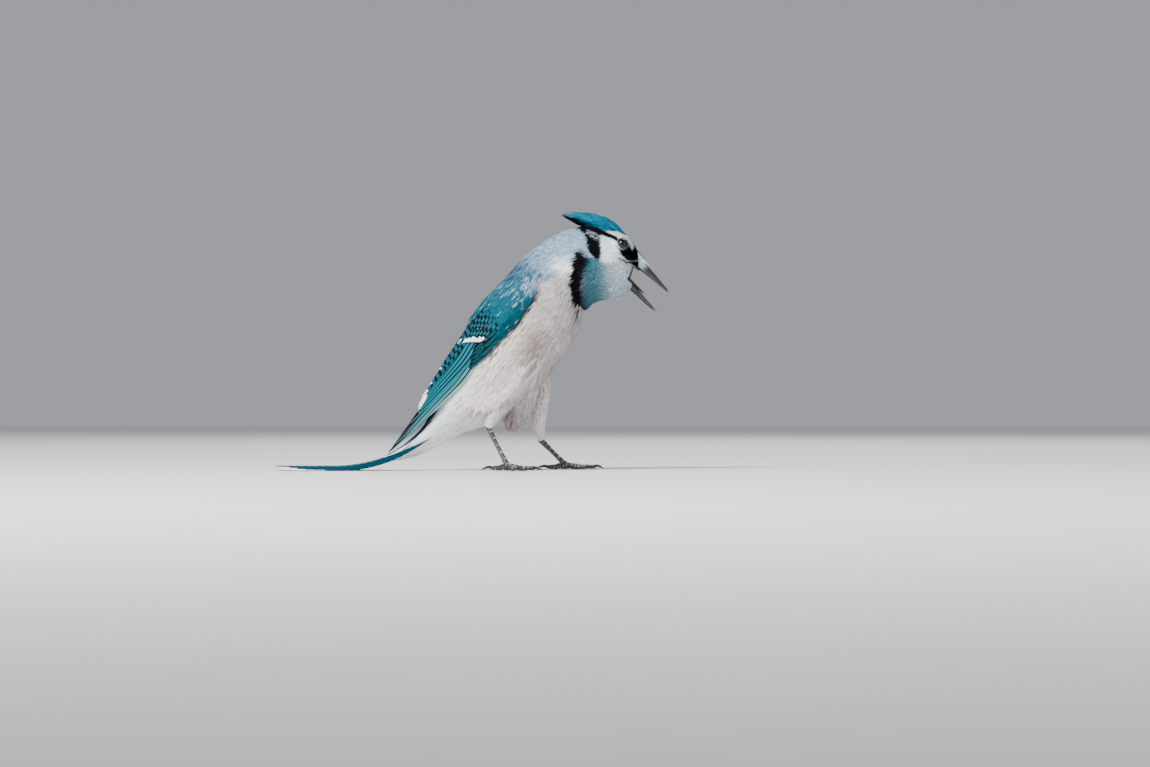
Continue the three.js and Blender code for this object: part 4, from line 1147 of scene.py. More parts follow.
# %% Flight feather material
def flight_material():
    """Closed vanes: smooth keratin barbs with a faint silky gloss, barred in black and tipped in white."""
    material, tree, shader = new_material("closed_flight_vanes")
    shader_values(shader, Roughness=0.6, Specular_IOR_Level=0.1)
    made_nodes = {}
    math_node, smooth_step = "ShaderNodeMath", {"interpolation_type": "SMOOTHSTEP"}
    for name, kind, settings, values, links in [
        ("vane", "ShaderNodeUVMap", {"uv_map": "Vane"}, {}, {}),
        ("part", "ShaderNodeSeparateXYZ", {}, {}, {0: ("vane", 0)}),  # X across the vane, Y in mm from its tip
        ("marks", "ShaderNodeAttribute", {"attribute_name": "plan"}, {}, {}),
        ("plan", "ShaderNodeSeparateColor", {}, {}, {0: ("marks", 0)}),
        ("base", "ShaderNodeAttribute", {"attribute_name": "plumage"}, {}, {}),
        ("place", "ShaderNodeTexCoord", {}, {}, {}),
        ("wander", "ShaderNodeTexNoise", {}, {"Scale": 260.0, "Detail": 1.0}, {"Vector": ("place", 3)}),
        ("shift", math_node, {"operation": "MULTIPLY_ADD"}, {1: 2.0, 2: -1.0}, {0: ("wander", 0)}),
        ("off_shaft", math_node, {"operation": "ABSOLUTE"}, {}, {0: ("part", 0)}),
        ("slant", math_node, {"operation": "MULTIPLY_ADD"}, {1: 1.1}, {0: ("off_shaft", 0), 2: ("part", 1)}),
        ("skewed", math_node, {"operation": "ADD"}, {}, {0: ("slant", 0), 1: ("shift", 0)}),
        ("wave", math_node, {"operation": "PINGPONG"}, {1: 2.1}, {0: ("skewed", 0)}),  # half of a 4.2 mm bar spacing
        ("band", "ShaderNodeMapRange", smooth_step, {1: 1.12, 2: 1.32}, {0: ("wave", 0)}),
        ("bar", math_node, {"operation": "MULTIPLY"}, {}, {0: ("band", 0), 1: ("plan", 0)}),
        ("line", math_node, {"operation": "MULTIPLY_ADD"}, {1: -2.0, 2: 1.0}, {0: ("plan", 2)}),
        ("past_line", math_node, {"operation": "ADD"}, {}, {0: ("part", 0), 1: ("line", 0)}),
        ("inner_web", "ShaderNodeMapRange", smooth_step, {1: -0.07, 2: 0.07}, {0: ("past_line", 0)}),
        ("from_shaft", math_node, {"operation": "ADD"}, {1: 0.12}, {0: ("part", 0)}),
        ("shaft_gap", math_node, {"operation": "ABSOLUTE"}, {}, {0: ("from_shaft", 0)}),
        ("shaft", "ShaderNodeMapRange", smooth_step, {1: 0.02, 2: 0.07, 3: 0.75, 4: 0.0}, {0: ("shaft_gap", 0)}),
        ("dark_web", math_node, {"operation": "MAXIMUM"}, {}, {0: ("bar", 0), 1: ("inner_web", 0)}),
        ("dark", math_node, {"operation": "MAXIMUM"}, {}, {0: ("dark_web", 0), 1: ("shaft", 0)}),
        ("tip_length", math_node, {"operation": "MULTIPLY_ADD"}, {1: -20.0}, {0: ("plan", 1), 2: ("part", 1)}),
        ("ragged_tip", math_node, {"operation": "MULTIPLY_ADD"}, {1: 0.6}, {0: ("shift", 0), 2: ("tip_length", 0)}),
        ("tip", "ShaderNodeMapRange", smooth_step, {1: -0.1, 2: 0.1, 3: 1.0, 4: 0.0}, {0: ("ragged_tip", 0)}),
        ("tone", math_node, {"operation": "MULTIPLY_ADD"}, {1: 0.3, 2: 0.85}, {0: ("wander", 0)}),
        ("toned", "ShaderNodeVectorMath", {"operation": "SCALE"}, {}, {0: ("base", 0), "Scale": ("tone", 0)}),
        ("barred", "ShaderNodeMix", {"data_type": "RGBA"}, {7: (*COLLAR_BLACK, 1)}, {0: ("dark", 0), 6: ("toned", 0)}),
        ("tipped", "ShaderNodeMix", {"data_type": "RGBA"}, {7: (*VENT_WHITE, 1)}, {0: ("tip", 0), 6: ("barred", 2)}),
        ("barb_slant", math_node, {"operation": "MULTIPLY_ADD"}, {1: 1.6}, {0: ("off_shaft", 0), 2: ("part", 1)}),
        ("barb_place", "ShaderNodeCombineXYZ", {}, {}, {"Y": ("barb_slant", 0)}),
        ("barbs", "ShaderNodeTexWave", {"bands_direction": "Y"}, {"Scale": 1.1}, {"Vector": ("barb_place", 0)}),
        ("ribs", "ShaderNodeBump", {}, {"Strength": 0.25, "Distance": 0.0002}, {"Height": ("barbs", 1)}),
    ]:
        sockets = {key: made_nodes[source].outputs[number] for key, (source, number) in links.items()}
        made_nodes[name] = add_node(tree, kind, settings, values, sockets)
    tree.links.new(made_nodes["tipped"].outputs[2], shader.inputs["Base Color"])
    tree.links.new(made_nodes["ribs"].outputs["Normal"], shader.inputs["Normal"])
    return material


FLIGHT = flight_material()
WING_TEAL = linear("#005463")
WING_BRIGHT_TEAL = linear("#007483")
WING_DARK_TEAL = linear("#003843")
WING_GREY_BLUE = linear("#2f6278")
WING_DULL = linear("#4f5b60")
EDGE_PALE = linear("#9ccaca")
TAIL_TEAL = linear("#00546a")
print("flight material nodes:", len(FLIGHT.node_tree.nodes))

# %% [markdown]
# ## Wing feathers
# The flight feathers of a folded wing lie like a closed fan: primaries lowest, then secondaries,
# then three broad barred tertials, with rows of coverts over their roots. Each vane is placed by its
# root and tip on the wing's surface, and a wall is added at the end.

# %% Blades
def blade_width(t):
    return np.minimum(np.minimum(0.45 + 2.2 * t, 1.0), 0.30 + 0.70 * np.sqrt(np.clip((1 - t) / 0.16, 0, 1)))


class Blades:
    """Gathers long vanes into one mesh, each on its own cell of the bake map."""

    def __init__(self, cells):
        self.points, self.faces, self.vane, self.bake, self.plan, self.tone = [], [], [], [], [], []
        self.cells, self.count, self.start = cells, 0, 0

    def add(self, place, length, steps, across, colour, bars=0.0, white=0.0, inner=1.2, dull=0.0):
        t, s = np.meshgrid(np.linspace(0, 1, steps + 1), np.linspace(-1, 1, across + 1), indexing="ij")
        points = place(t, s)
        i, j = np.meshgrid(np.arange(steps), np.arange(across), indexing="ij")
        a = self.start + i * (across + 1) + j
        self.faces.append(np.stack([a, a + 1, a + across + 2, a + across + 1], axis=-1).reshape(-1, 4))
        self.points.append(points.reshape(-1, 3))
        self.start += points.shape[0] * points.shape[1]
        self.vane.append(np.stack([s, (1 - t) * length], axis=-1).reshape(-1, 2))
        cell = np.array([self.count % self.cells, self.count // self.cells])
        local = np.stack([0.08 + 0.84 * (s + 1) / 2, 0.04 + 0.92 * t], axis=-1)
        self.bake.append(((cell + local) / self.cells).reshape(-1, 2))
        line = np.broadcast_to(np.asarray(inner, float), t.shape) if np.ndim(inner) == 0 else inner[:, None] + 0 * t
        self.plan.append(np.stack([bars + 0 * t, white / 20.0 + 0 * t, (line + 1) / 2], axis=-1).reshape(-1, 3))
        tone = np.clip(1 + rng.normal(0, 0.05), 0.85, 1.15)
        worn = mix(colour * tone, WING_DULL, (dull * smooth(t, 0.66, 0.95))[..., None])
        self.tone.append(worn.reshape(-1, 3))
        self.count += 1

    def finish(self, name, replaced, thickness=0.25):
        piece = mesh_object(name, np.concatenate(self.points), np.concatenate(self.faces), FLIGHT,
                            replaced)
        map_values(piece, "Vane", np.concatenate(self.vane))
        map_values(piece, "OFBake", np.concatenate(self.bake))
        point_values(piece, "plan", np.concatenate(self.plan))
        point_values(piece, "plumage", np.concatenate(self.tone))
        apply_modifier(piece, "SOLIDIFY", thickness=thickness * MM, offset=0.0)
        print(name, "vanes:", self.count, "faces:", len(piece.data.polygons))
        return piece


def wing_blade(wing, side, root, tip, wide, off, tilt=0.45, sag=0.0, steps=24, across=6, arch=0.3, **plan):
    """A vane on the folded wing from root to tip, both given as length and height."""
    def place(t, s):
        l = root[0] + (tip[0] - root[0]) * t
        q = root[1] + (tip[1] - root[1]) * t - sag * np.sin(np.pi * t) + s * wide * blade_width(t)
        return wing_point(l, q, off - tilt * s - arch * s * s, side)

    length = math.hypot(tip[0] - root[0], tip[1] - root[1])
    wing.add(place, length, steps, across, **plan)


def shown_web(wide, pitch_root, pitch_tip, steps, share=0.62):
    """Where a vane's dark inner web starts, so that a line shows between it and the vane above it."""
    t = np.linspace(0, 1, steps + 1)
    pitch = np.maximum(mix(pitch_root, pitch_tip, t), 0.45)
    return np.clip(-1 + share * pitch / (wide * blade_width(t)), -1, 1)


PRIMARY_TIPS = [[112, 1.0], [122, 1.2], [130, 1.7], [137, 2.6], [132, 3.8], [124, 5.2], [116, 6.6]]


SECONDARY_WHITE = (0, 0, 0, 1.5, 3.0, 5.0, 6.5, 7.5, 7.5)  # mm of white at the tips, from the lowest up


def make_wing(side, name):
    wing = Blades(12)
    pale_edges = (0.85, 0.6, 0.3, 0.35, 0.08, 0.12, 0)
    for k, (tip, pale) in enumerate(zip(PRIMARY_TIPS, pale_edges)):
        line = shown_web(3.1, 1.3, 0.9, 30, (0.8, 0.3)[k % 2])
        wing_blade(wing, side, [62, 1.6 + 1.3 * k], tip, 3.1, -2.5 + 0.07 * k, sag=0.8, steps=30,
                   colour=mix(WING_BRIGHT_TEAL, EDGE_PALE, pale), inner=line, dull=0.7)
    for k in range(9):
        share = k / 8
        root = [50 + 4 * share, 8.4 + 12.6 * share]
        tip = [107 - 4 * share, 6.0 + 7.4 * share]
        wing_blade(wing, side, root, tip, 3.6, -2.0 + 0.05 * k, steps=26,
                   colour=mix(WING_BRIGHT_TEAL, EDGE_PALE, 0.06 * (k % 2)), white=SECONDARY_WHITE[k],
                   inner=shown_web(3.6, 1.55, 0.93, 26, (0.85, 0.22)[k % 2]))
    for k, (l, q, wide) in enumerate([(99, 15.6, 4.0), (90, 17.6, 4.4), (79, 20.4, 4.8)]):
        wing_blade(wing, side, [42 - 3 * k, 22.6 + 3.0 * k], [l, q], wide, -1.1 + 0.3 * k, colour=WING_TEAL, bars=1.0,
                   white=(6.0, 2.2, 1.4)[k])
    for k in range(5):
        wing_blade(wing, side, [38, 1.8 + 1.6 * k], [67 - 2.4 * k, 2.4 + 1.7 * k], 2.2, -1.35 + 0.05 * k, steps=12,
                   colour=WING_DARK_TEAL, inner=shown_web(2.2, 1.6, 1.7, 12, 0.88))
    for k in range(3):
        wing_blade(wing, side, [28, 2.2 + 2.2 * k], [58 - 5.5 * k, 2.4 + 2.5 * k], 2.5, -0.8 + 0.22 * k, steps=12,
                   colour=WING_DARK_TEAL, inner=shown_web(2.5, 2.2, 2.5, 12, 0.93))
    rows = [
        # number, root length and height, tip length and height, half width, out, steps, white tip
        (9, (30, 6), (7.0, 18.0), (50.5, 10), (8.4, 15.4), 2.2, -0.6, 16, 4.6),
        (8, (24, 5), (6.8, 18.2), (41, 9), (7.4, 17.0), 2.5, -0.15, 12, 0.0),
    ]
    for number, (rl, dl), (rq, dq), (tl, tdl), (tq, tdq), wide, off, steps, white in rows:
        for k in range(number):
            share = k / (number - 1)
            root, tip = [rl + dl * share, rq + dq * share], [tl + tdl * share, tq + tdq * share]
            tipped = white * rng.uniform(0.7, 1.15) if k > 0 else 0.0
            wing_blade(wing, side, root, tip, wide, off + 0.02 * k, steps=steps, colour=WING_TEAL, bars=1.0,
                       white=tipped, tilt=0.3, inner=shown_web(wide, dq / number, tdq / number, steps, 0.85))
    return wing.finish(f"{name}_flight_feathers", (f"{name}_wing",))


def shoulder_tract(side, name):
    """Small coverts over the arm, from the bend back to the barred rows, and scapulars over the wing's top."""

    def span(l):
        back, wide, edge, top = np.moveaxis(along(WING, l), -1, 0)
        return np.radians(edge - top) * (back + wide) / 2

    def surface(l, q):
        out = 0.35 - 0.9 * smooth(l, 26, 44)
        return wing_point(np.maximum(l, -2.0), q, out, side)

    at, turn = [], []
    for l in np.arange(-1.0, 34.0, 1.9):
        reach = float(span(np.array(max(l, 0.5))))
        q = np.arange(0.8, reach + 2.5, 1.7)
        at.append(l + rng.uniform(-0.7, 0.7, len(q)) + 0.12 * q)
        turn.append(q + rng.uniform(-0.6, 0.6, len(q)))
    at, turn = np.concatenate(at), np.concatenate(turn)
    length = rng.uniform(6.5, 9.0, len(at))
    width = rng.uniform(3.6, 4.4, len(at))
    front = smooth(at, 26, 2)[:, None]
    top = smooth(turn, 12, 26)[:, None]
    colour = mix(WING_TEAL, WING_GREY_BLUE, np.clip(0.62 * front + 0.2 * top + rng.normal(0, 0.15, front.shape), 0, 1))
    colour = mix(colour, NAPE_GREY, smooth(at + rng.normal(0, 1.5, len(at)), 6, -1)[:, None])
    low_edge = 0.75 * smooth(turn, 9, 2) * smooth(at, 2, 12)
    colour = mix(colour, WING_DARK_TEAL, low_edge[:, None])
    streaked = rng.random((len(at), 6)) < 0.02 + 0.09 * np.exp(-((at - 10) / 8) ** 2)[:, None]
    colour = np.where(streaked[..., None], mix(colour[:, None], CHEEK_WHITE, 0.32), colour[:, None])
    spot = np.stack([0.2 + 0.01 * at + 0.3 * (side > 0), 0.3 + 0.01 * turn], axis=-1)
    return tract(f"{name}_shoulder_coverts", surface, at, turn, length, width, colour, 6, 0.75, way=1, hand=-side,
                 sway=0.1, sunk=0.35, map_place=spot)


for side, name in ((-1, "right"), (1, "left")):
    make_wing(side, name)
    shoulder_tract(side, name)


# %% [markdown]
# ## The tail
# Twelve feathers close into a narrow blade with the middle pair on top. Each is barred across
# and the outer ones end in white. On this model the tail curves down and lies on the floor.

# %% Tail feathers
def tail_tip(t):
    return np.minimum(1.0, 0.25 + 1.9 * np.sqrt(np.clip(1 - t, 0, 1)))


def make_tail():
    tail = Blades(4)
    for pair in range(5, -1, -1):
        for side in (-1, 1):
            length = TAIL_LENGTH - 1.9 * pair - (2 if pair == 5 else 0)
            start = 14.0

            def place(t, s, pair=pair, side=side, length=length):
                at = start + (length - start) * t
                p, _, n = tail_frame(at)
                opening = np.clip((at - start) / (TAIL_LENGTH - start), 0, 1)
                middle = side * (1 + 0.75 * pair + opening * (2.4 + 1.75 * pair))
                wide = (4.5 + 2.9 * np.minimum(1, 1.6 * opening)) * tail_tip(t)
                y = middle + s * wide
                roof = 0.1 * np.abs(y) * (1 - 0.7 * opening)
                drop = 0.45 * (pair + (0.5 if side > 0 else 0)) + roof + 0.2 * s * s
                point = p + vectors(0, y, 0) + n * (1.0 - drop)[..., None]
                point[..., 2] = np.maximum(point[..., 2], 0.2 + 0.05 * (5 - pair))
                return point

            tail.add(place, length - start, 40, 8, TAIL_TEAL, bars=0.9, white=0.0 if pair == 0 else 4 + 3 * pair)
    return tail.finish("tail_feathers", ("tail",), thickness=0.22)


make_tail()


# %% [markdown]
# ## Bill, mouth and eyes
# The bill is dark horn over bone, smooth and slightly hooked. Each half is a loft that narrows to
# its tip.

# %% Horn material
def horn_material():
    """Bill and claws: dark keratin, worn to a satin gloss, paler where it is thin, with a painted highlight on the
    bill's ridge.
    """
    grain = {"Scale": 520.0, "Detail": 4.0}  # wear in patches of 2 mm
    return grained_material("satin_dark_horn", (0.36, 0.4), (NOISE, grain), (0.3, 0.7, 0.6, 1.5), (0.3, 0.0002))


HORN_BLACK = linear("#15151a")
# grey for a painted highlight along the upper bill's ridge, and for paler edges
HORN_GREY = linear("#6a686b")
HORN_PINK = linear("#b48c88")
HORN = horn_material()
UPPER_BILL = [
    [99.5, 126.2, 4.6, 2.4, 5], [104, 122.6, 4.1, 2, 4.4], [108.6, 118.8, 3.4, 1.6, 3.6],
    [113.2, 114.7, 2.6, 1.2, 2.7], [117.6, 110.6, 1.7, 0.8, 1.8], [120.8, 107.9, 0.9, 0.6, 1],
    [122.7, 106.1, 0.4, 0.35, 0.45],
]
LOWER_BILL = [
    [93.6, 116.6, 1.0, 2.4, 3.6], [96.6, 113.4, 1.7, 3, 4.4], [100.4, 109.8, 1.5, 2.6, 3.9],
    [104.6, 105.6, 1.2, 2.1, 3], [108.8, 101.2, 0.9, 1.6, 2.1], [112.4, 97.4, 0.7, 1, 1.3],
    [115.2, 94.6, 0.35, 0.4, 0.5],
]


def bill_half(name, places, node):
    table, end = numbered(places), len(places) - 1
    at, turn = round_grid(0, end, 48, 40)
    x, z, above, below, wide = np.moveaxis(along(table, at), -1, 0)
    ahead = along(table, np.minimum(at + 0.2, end)) - along(table, np.maximum(at - 0.2, 0))
    length = np.hypot(ahead[..., 0], ahead[..., 1])
    nx, nz = -ahead[..., 1] / length, ahead[..., 0] / length
    blunt = np.sqrt(np.clip((end - at) / 0.35, 0.02, 1))
    up, across = np.cos(turn), np.sin(turn)
    keel = up > 0 if node == "upper_bill" else up < 0  # the ridge of the upper half, the keel of the lower
    high = np.where(up > 0, above, below) * np.sign(up) * np.abs(up) ** np.where(keel, 1.0, 0.55) * blunt
    broad = wide * np.sign(across) * np.abs(across) ** np.where(keel, 1.3, 0.9) * blunt
    piece = closed_loft(name, vectors(x + nx * high, broad, z + nz * high))
    keep(piece, HORN, (node,))
    from_ridge = (turn + np.pi) % (2 * np.pi) - np.pi
    ridge = np.exp(-(from_ridge / 0.45) ** 2) * (node == "upper_bill")
    edge = np.exp(-((np.abs(from_ridge) - 1.75) / 0.22) ** 2)
    # painted highlight: the upper bill's ridge is lighter grey, as are the edges of both halves
    colour = mix(HORN_BLACK, HORN_GREY, np.clip(0.75 * ridge + 0.3 * edge, 0, 1)[..., None])
    colour = mix(colour, HORN_PINK, 0.45 * smooth(at, len(places) - 2.1, end)[..., None])
    ring_colours(piece, colour)
    return piece


for name, places in (("upper_bill", UPPER_BILL), ("lower_bill", LOWER_BILL)):
    print(name, "faces:", len(bill_half(f"{name}_horn", places, name).data.polygons))


# %% [markdown]
# ## Bristles
# Stiff pale bristles grow forward over the nostrils, and loose tips stick out under the chin. Both
# are strands, their roots on the bill's or the head's own curves.

# %% Nasal bristles
def bill_side(at, turn, out=0.0):
    """A point on the upper bill's surface, at 0 to 6 from its base."""
    x, z, above, below, wide = np.moveaxis(along(numbered(UPPER_BILL), at), -1, 0)
    high = (np.where(np.cos(turn) > 0, above, below) + out) * np.cos(turn)
    return vectors(x + 0.625 * high, (wide + out) * np.sin(turn), z + 0.78 * high)


NASAL_COUNT, CHIN_COUNT = 420, 300


def nasal_bristles():
    """Stiff pale bristles from the forehead that hide the nostrils."""
    count = NASAL_COUNT
    turn = rng.uniform(-1.9, 1.9, count)
    start = rng.uniform(-0.1, 0.9, count)
    long = rng.uniform(0.7, 1.25, count)
    root = bill_side(np.maximum(start, 0), turn, 0.9 + 2.6 * np.clip(0.5 - start, 0, 1))
    root = root - vectors(1.2 * (start < 0.3), 0, -1.0 * (start < 0.3))
    tip = bill_side(np.maximum(start, 0) + long, turn * 0.93, 0.55 + rng.uniform(0, 0.5, count))
    dark = (np.abs(turn) < 0.35) & (start < 0.3)
    colour = mix(CHEEK_WHITE, BRISTLE_BLUE, rng.uniform(0, 1, (count, 1)) ** 1.5)
    colour = np.where(dark[:, None], COLLAR_BLACK, colour)
    strands("nasal_bristles", root, tip, rng.uniform(0.14, 0.26, count), colour, (0.2, 0, 0.25), (0.5, 0.97))


def chin_bristles():
    """Loose pale tips under the chin and at the corners of the gape."""
    count = CHIN_COUNT
    side = rng.choice([-1, 1], count)
    at = rng.uniform(13.6, 16.6, count)
    turn = side * rng.uniform(2.3, 3.14, count)
    kept = edge_distance(MOUTH, *side_view(body_point(at, turn))) < -5.0
    at, turn = at[kept], turn[kept]
    count = len(at)
    root = body_point(at, turn, -0.6)
    out = unit(body_point(at, turn, 1.0) - root)
    tip = root + np.array([-0.75, 0, -0.45]) * rng.uniform(2.2, 4.6, (count, 1))
    tip = tip + out * rng.uniform(1.0, 2.4, (count, 1))
    colour = mix(CHIN_GREY, CHEEK_WHITE, rng.uniform(0, 1, (count, 1)))
    strands("chin_bristles", root, tip, rng.uniform(0.12, 0.22, count), colour, (0, 0, -0.3), (0.5, 0.9))


nasal_bristles()
chin_bristles()
print("bristle triangles:", triangles(piece for piece in made if "bristles" in piece.name))


# %% [markdown]
# ## Eyes
# A jay's eye is nearly black: a very dark brown iris round the pupil, under a clear cornea that
# bulges from the ball. The ball is a sphere turned so that its pole looks out of the head, with the
# cornea pulled out round the pole.

# %% Eyes
EYE_AXIS = unit(np.array([0.476, 0.794, 0.373]))
CORNEA_ANGLE = 44.0  # degrees from the axis


def eye_material():
    """A wet eye: dark brown iris round a black pupil under a clear cornea, so it is dark with sharp glints."""
    material, tree, shader = new_material("wet_dark_eye")
    shader_values(shader, Roughness=0.06, Specular_IOR_Level=0.3)
    place = add_node(tree, "ShaderNodeTexCoord")
    angle = add_node(tree, "ShaderNodeAttribute", {"attribute_name": "angle"})
    fibre = add_node(tree, "ShaderNodeTexNoise", values={"Scale": 2600.0, "Detail": 3.0},
                     links={"Vector": place.outputs["Object"]})
    shifted = add_node(tree, "ShaderNodeMath", {"operation": "MULTIPLY_ADD"}, {1: 0.1},
                       {0: fibre.outputs["Fac"], 2: angle.outputs["Fac"]})
    rings = add_node(tree, "ShaderNodeValToRGB", links={"Fac": shifted.outputs["Value"]})
    stops = [(0.0, "#020202"), (0.34, "#020202"), (0.37, "#110805"), (0.50, "#1a0d08"), (0.56, "#050303"),
             (1.0, "#0b0808")]
    for _ in stops[2:]:
        rings.color_ramp.elements.new(0.5)
    for element, (position, code) in zip(rings.color_ramp.elements, stops):
        element.position = position
    for element, (position, code) in zip(rings.color_ramp.elements, stops):
        element.color = (*linear(code), 1)
    tree.links.new(rings.outputs["Color"], shader.inputs["Base Color"])
    return material


def eyeball(name, side):
    centre, axis = EYE_CENTRE * [1, side, 1], EYE_AXIS * [1, side, 1]
    bpy.ops.object.select_all(action="DESELECT")
    bpy.ops.mesh.primitive_uv_sphere_add(segments=48, ring_count=40, radius=EYE_RADIUS * MM, location=metres(centre),
                                         rotation=Vector(axis).to_track_quat("Z", "Y").to_euler())
    eye = bpy.context.object
    eye.name = f"{name}_eyeball"
    bpy.ops.object.transform_apply(location=True, rotation=True, scale=True)
    bpy.ops.object.shade_smooth()
    middle, out = Vector(metres(centre)), Vector(axis)
    angles = []
    for vertex in eye.data.vertices:
        ray = vertex.co - middle
        angle = math.degrees(ray.angle(out))
        bulge = 0.09 * max(0.0, 1 - (angle / CORNEA_ANGLE) ** 2)
        vertex.co = middle + ray * (1 + bulge)
        angles.append(angle / 90)
    keep(eye, EYE, (f"{name}_eye",))
    point_values(eye, "angle", np.clip(angles, 0, 1))


EYE = eye_material()
for side, name in ((-1, "right"), (1, "left")):
    eyeball(name, side)
print("eyeballs across:", 2 * EYE_RADIUS, "mm")

# %% [markdown]
# ## Lids
# A bird's lids are a ring of bare pebbled skin that hugs the ball, in folds. They could be painted
# round the eye, but the folds catch the light, so they are a torus whose rings of points are moved
# on to the folds. The soft fold at the corner of the mouth is bare skin too, swept along a line.

# %% Lids
# The folds from the edge on the ball outwards and back under the feathers: reach from the edge, height above it
FOLDS = [(-0.06, -0.30), (0.0, -0.02), (0.07, 0.10), (0.18, 0.11), (0.25, 0.0), (0.34, 0.06), (0.44, 0.03),
         (0.52, -0.10), (0.64, -0.10), (0.9, -0.6), (0.9, -1.6), (0.3, -1.5)]
OPENING = 2.8  # mm from the eye's axis to the lids' edge


def lid_material():
    """Bare lid skin: fine pebbled folds, dark slate, rosy where it is thin at the edge."""
    pebbles = {"Scale": 3200.0}  # 0.3 mm across
    return grained_material("bare_lid_skin", (0.5, 0.3), (VORONOI, pebbles), (0.0, 1.0, 0.6, 1.25), (0.5, 0.0001))


def lid_ring(name, side):
    bpy.ops.object.select_all(action="DESELECT")
    bpy.ops.mesh.primitive_torus_add(major_segments=72, minor_segments=len(FOLDS), major_radius=OPENING * MM,
                                     minor_radius=MM)
    lid = bpy.context.object
    lid.name = f"{name}_lids"
    bill_way = unit(np.array([0.75, 0, -0.6]) - EYE_AXIS * (np.array([0.75, 0, -0.6]) @ EYE_AXIS))
    up_way = np.cross(EYE_AXIS, bill_way)
    ring, fold = np.divmod(np.arange(len(lid.data.vertices)), len(FOLDS))
    angle = ring * 2 * np.pi / 72
    reach, height = np.array(FOLDS)[fold].T
    edge = OPENING * (1 + 0.07 * np.cos(2 * angle))
    wrinkle = 0.025 * np.sin(17 * angle + 2.2 * fold) * (reach > 0.3)
    rise = np.sqrt((EYE_RADIUS * 1.02) ** 2 - edge ** 2) + height + wrinkle
    points = EYE_CENTRE + EYE_AXIS * rise[:, None]
    points = points + (bill_way * np.cos(angle)[:, None] + up_way * np.sin(angle)[:, None]) * (edge + reach)[:, None]
    lid.data.vertices.foreach_set("co", metres(points * [1, side, 1]).ravel())
    lid.data.update()
    outward(lid)
    keep(lid, LID)
    rosy = smooth(reach, 0.3, 0.05) * (0.35 + 0.65 * smooth(np.cos(angle - 0.8), 0.1, 0.9))
    point_values(lid, "plumage", mix(LID_SLATE, LID_ROSE, 0.75 * rosy[:, None]))


LID_SLATE = linear("#1f1b1e")
LID_ROSE = linear("#8f6b66")
GAPE_LINE = [(634.0, 267.2, 9.2), (632.8, 267.4, 10.0), (632.2, 269.5, 10.25), (631.4, 272.5, 10.3),
             (630.4, 275.5, 10.2), (629.6, 278.6, 9.9), (630.2, 281.2, 8.8), (631.6, 283.0, 7.6)]


def gape_fold(name, side):
    """The soft bare fold of skin at the corner of the mouth, from the upper bill to the lower."""
    line = [[side_place(u, v)[0], side * y, side_place(u, v)[1]] for u, v, y in GAPE_LINE]
    at, turn = round_grid(0, 1, 60, 16)
    pleats = 0.03 * np.sin(at * 70)
    piece = closed_loft(name, limb_point(line, [0.1, 0.35, 0.48, 0.52, 0.48, 0.35, 0.1], at, turn, pleats, 1.2))
    keep(piece, LID)
    even_colour(piece, mix(LID_SLATE, LID_ROSE, 0.04))


LID = lid_material()
for side, name in ((-1, "right"), (1, "left")):
    lid_ring(name, side)
    gape_fold(f"{name}_gape_fold", side)
print("lids open", 2 * OPENING, "mm")


# %% [markdown]
# ## Legs and feet
# Below the ankle a songbird's leg is bare, plated in front with overlapping scutes. Each toe is
# padded below and ends in a curved claw.

# %% Leg material
def scale_material():
    """Scuted skin: dark slate horn plates with pale worn rims, flesh-coloured behind."""
    grain = {"Scale": 900.0, "Detail": 3.0}  # specks of 1 mm
    return grained_material("scuted_leg_skin", (0.48, 0.4), (NOISE, grain), (0.3, 0.7, 0.7, 1.3), (0.4, 0.0002))


SCUTE_SLATE = linear("#26272f")
SCUTE_RIM = linear("#b3a6a4")
LEG_FLESH = linear("#9c7f78")
SCALES = scale_material()
# Each toe's turn from the leg's heading, length, claw's length and thickness
TOES = [("inner", -34, 12.5, 6.4, 1.35), ("middle", 0, 17.5, 7, 1.5), ("outer", 32, 13.5, 6.2, 1.35),
        ("hind", 180, 9.5, 8.6, 1.6)]
CLAW_LINE = [(0, 1.5), (0.3, 2.1), (0.62, 1.7), (0.86, 0.75), (0.97, 0.25)]  # share of its length, height in mm


def scuted_tube(name, points, radii, plates, rim, replaced=(), flesh=0.0):
    """A limb with plates: its radius swells to each plate's lower rim."""
    at, turn = round_grid(0, 1, plates * 8 + 1, 20)
    phase = (at * plates) % 1.0
    top = np.clip(0.45 - np.cos(turn), 0, 1)
    bulge = rim * phase ** 2 * top
    rings = limb_point(points, radii, at, turn, bulge)
    rings[..., 2] = np.maximum(rings[..., 2], 0.02)
    piece = closed_loft(name, rings)
    keep(piece, SCALES, replaced)
    rim_shade = smooth(phase, 0.72, 0.9) * top
    colour = mix(SCUTE_SLATE, LEG_FLESH, flesh * smooth(np.cos(turn), 0.35, 0.9)[..., None])
    colour = mix(colour, SCUTE_RIM, 0.85 * rim_shade[..., None])
    ring_colours(piece, colour)
    return piece


def claw(name, points, node):
    at, turn = round_grid(0, 1, 18, 16)
    piece = closed_loft(name, limb_point(points, [0.95, 0.85, 0.62, 0.36, 0.16], at, turn, 0.0, 0.72))
    keep(piece, HORN, (node,))
    even_colour(piece, HORN_BLACK * 1.3)


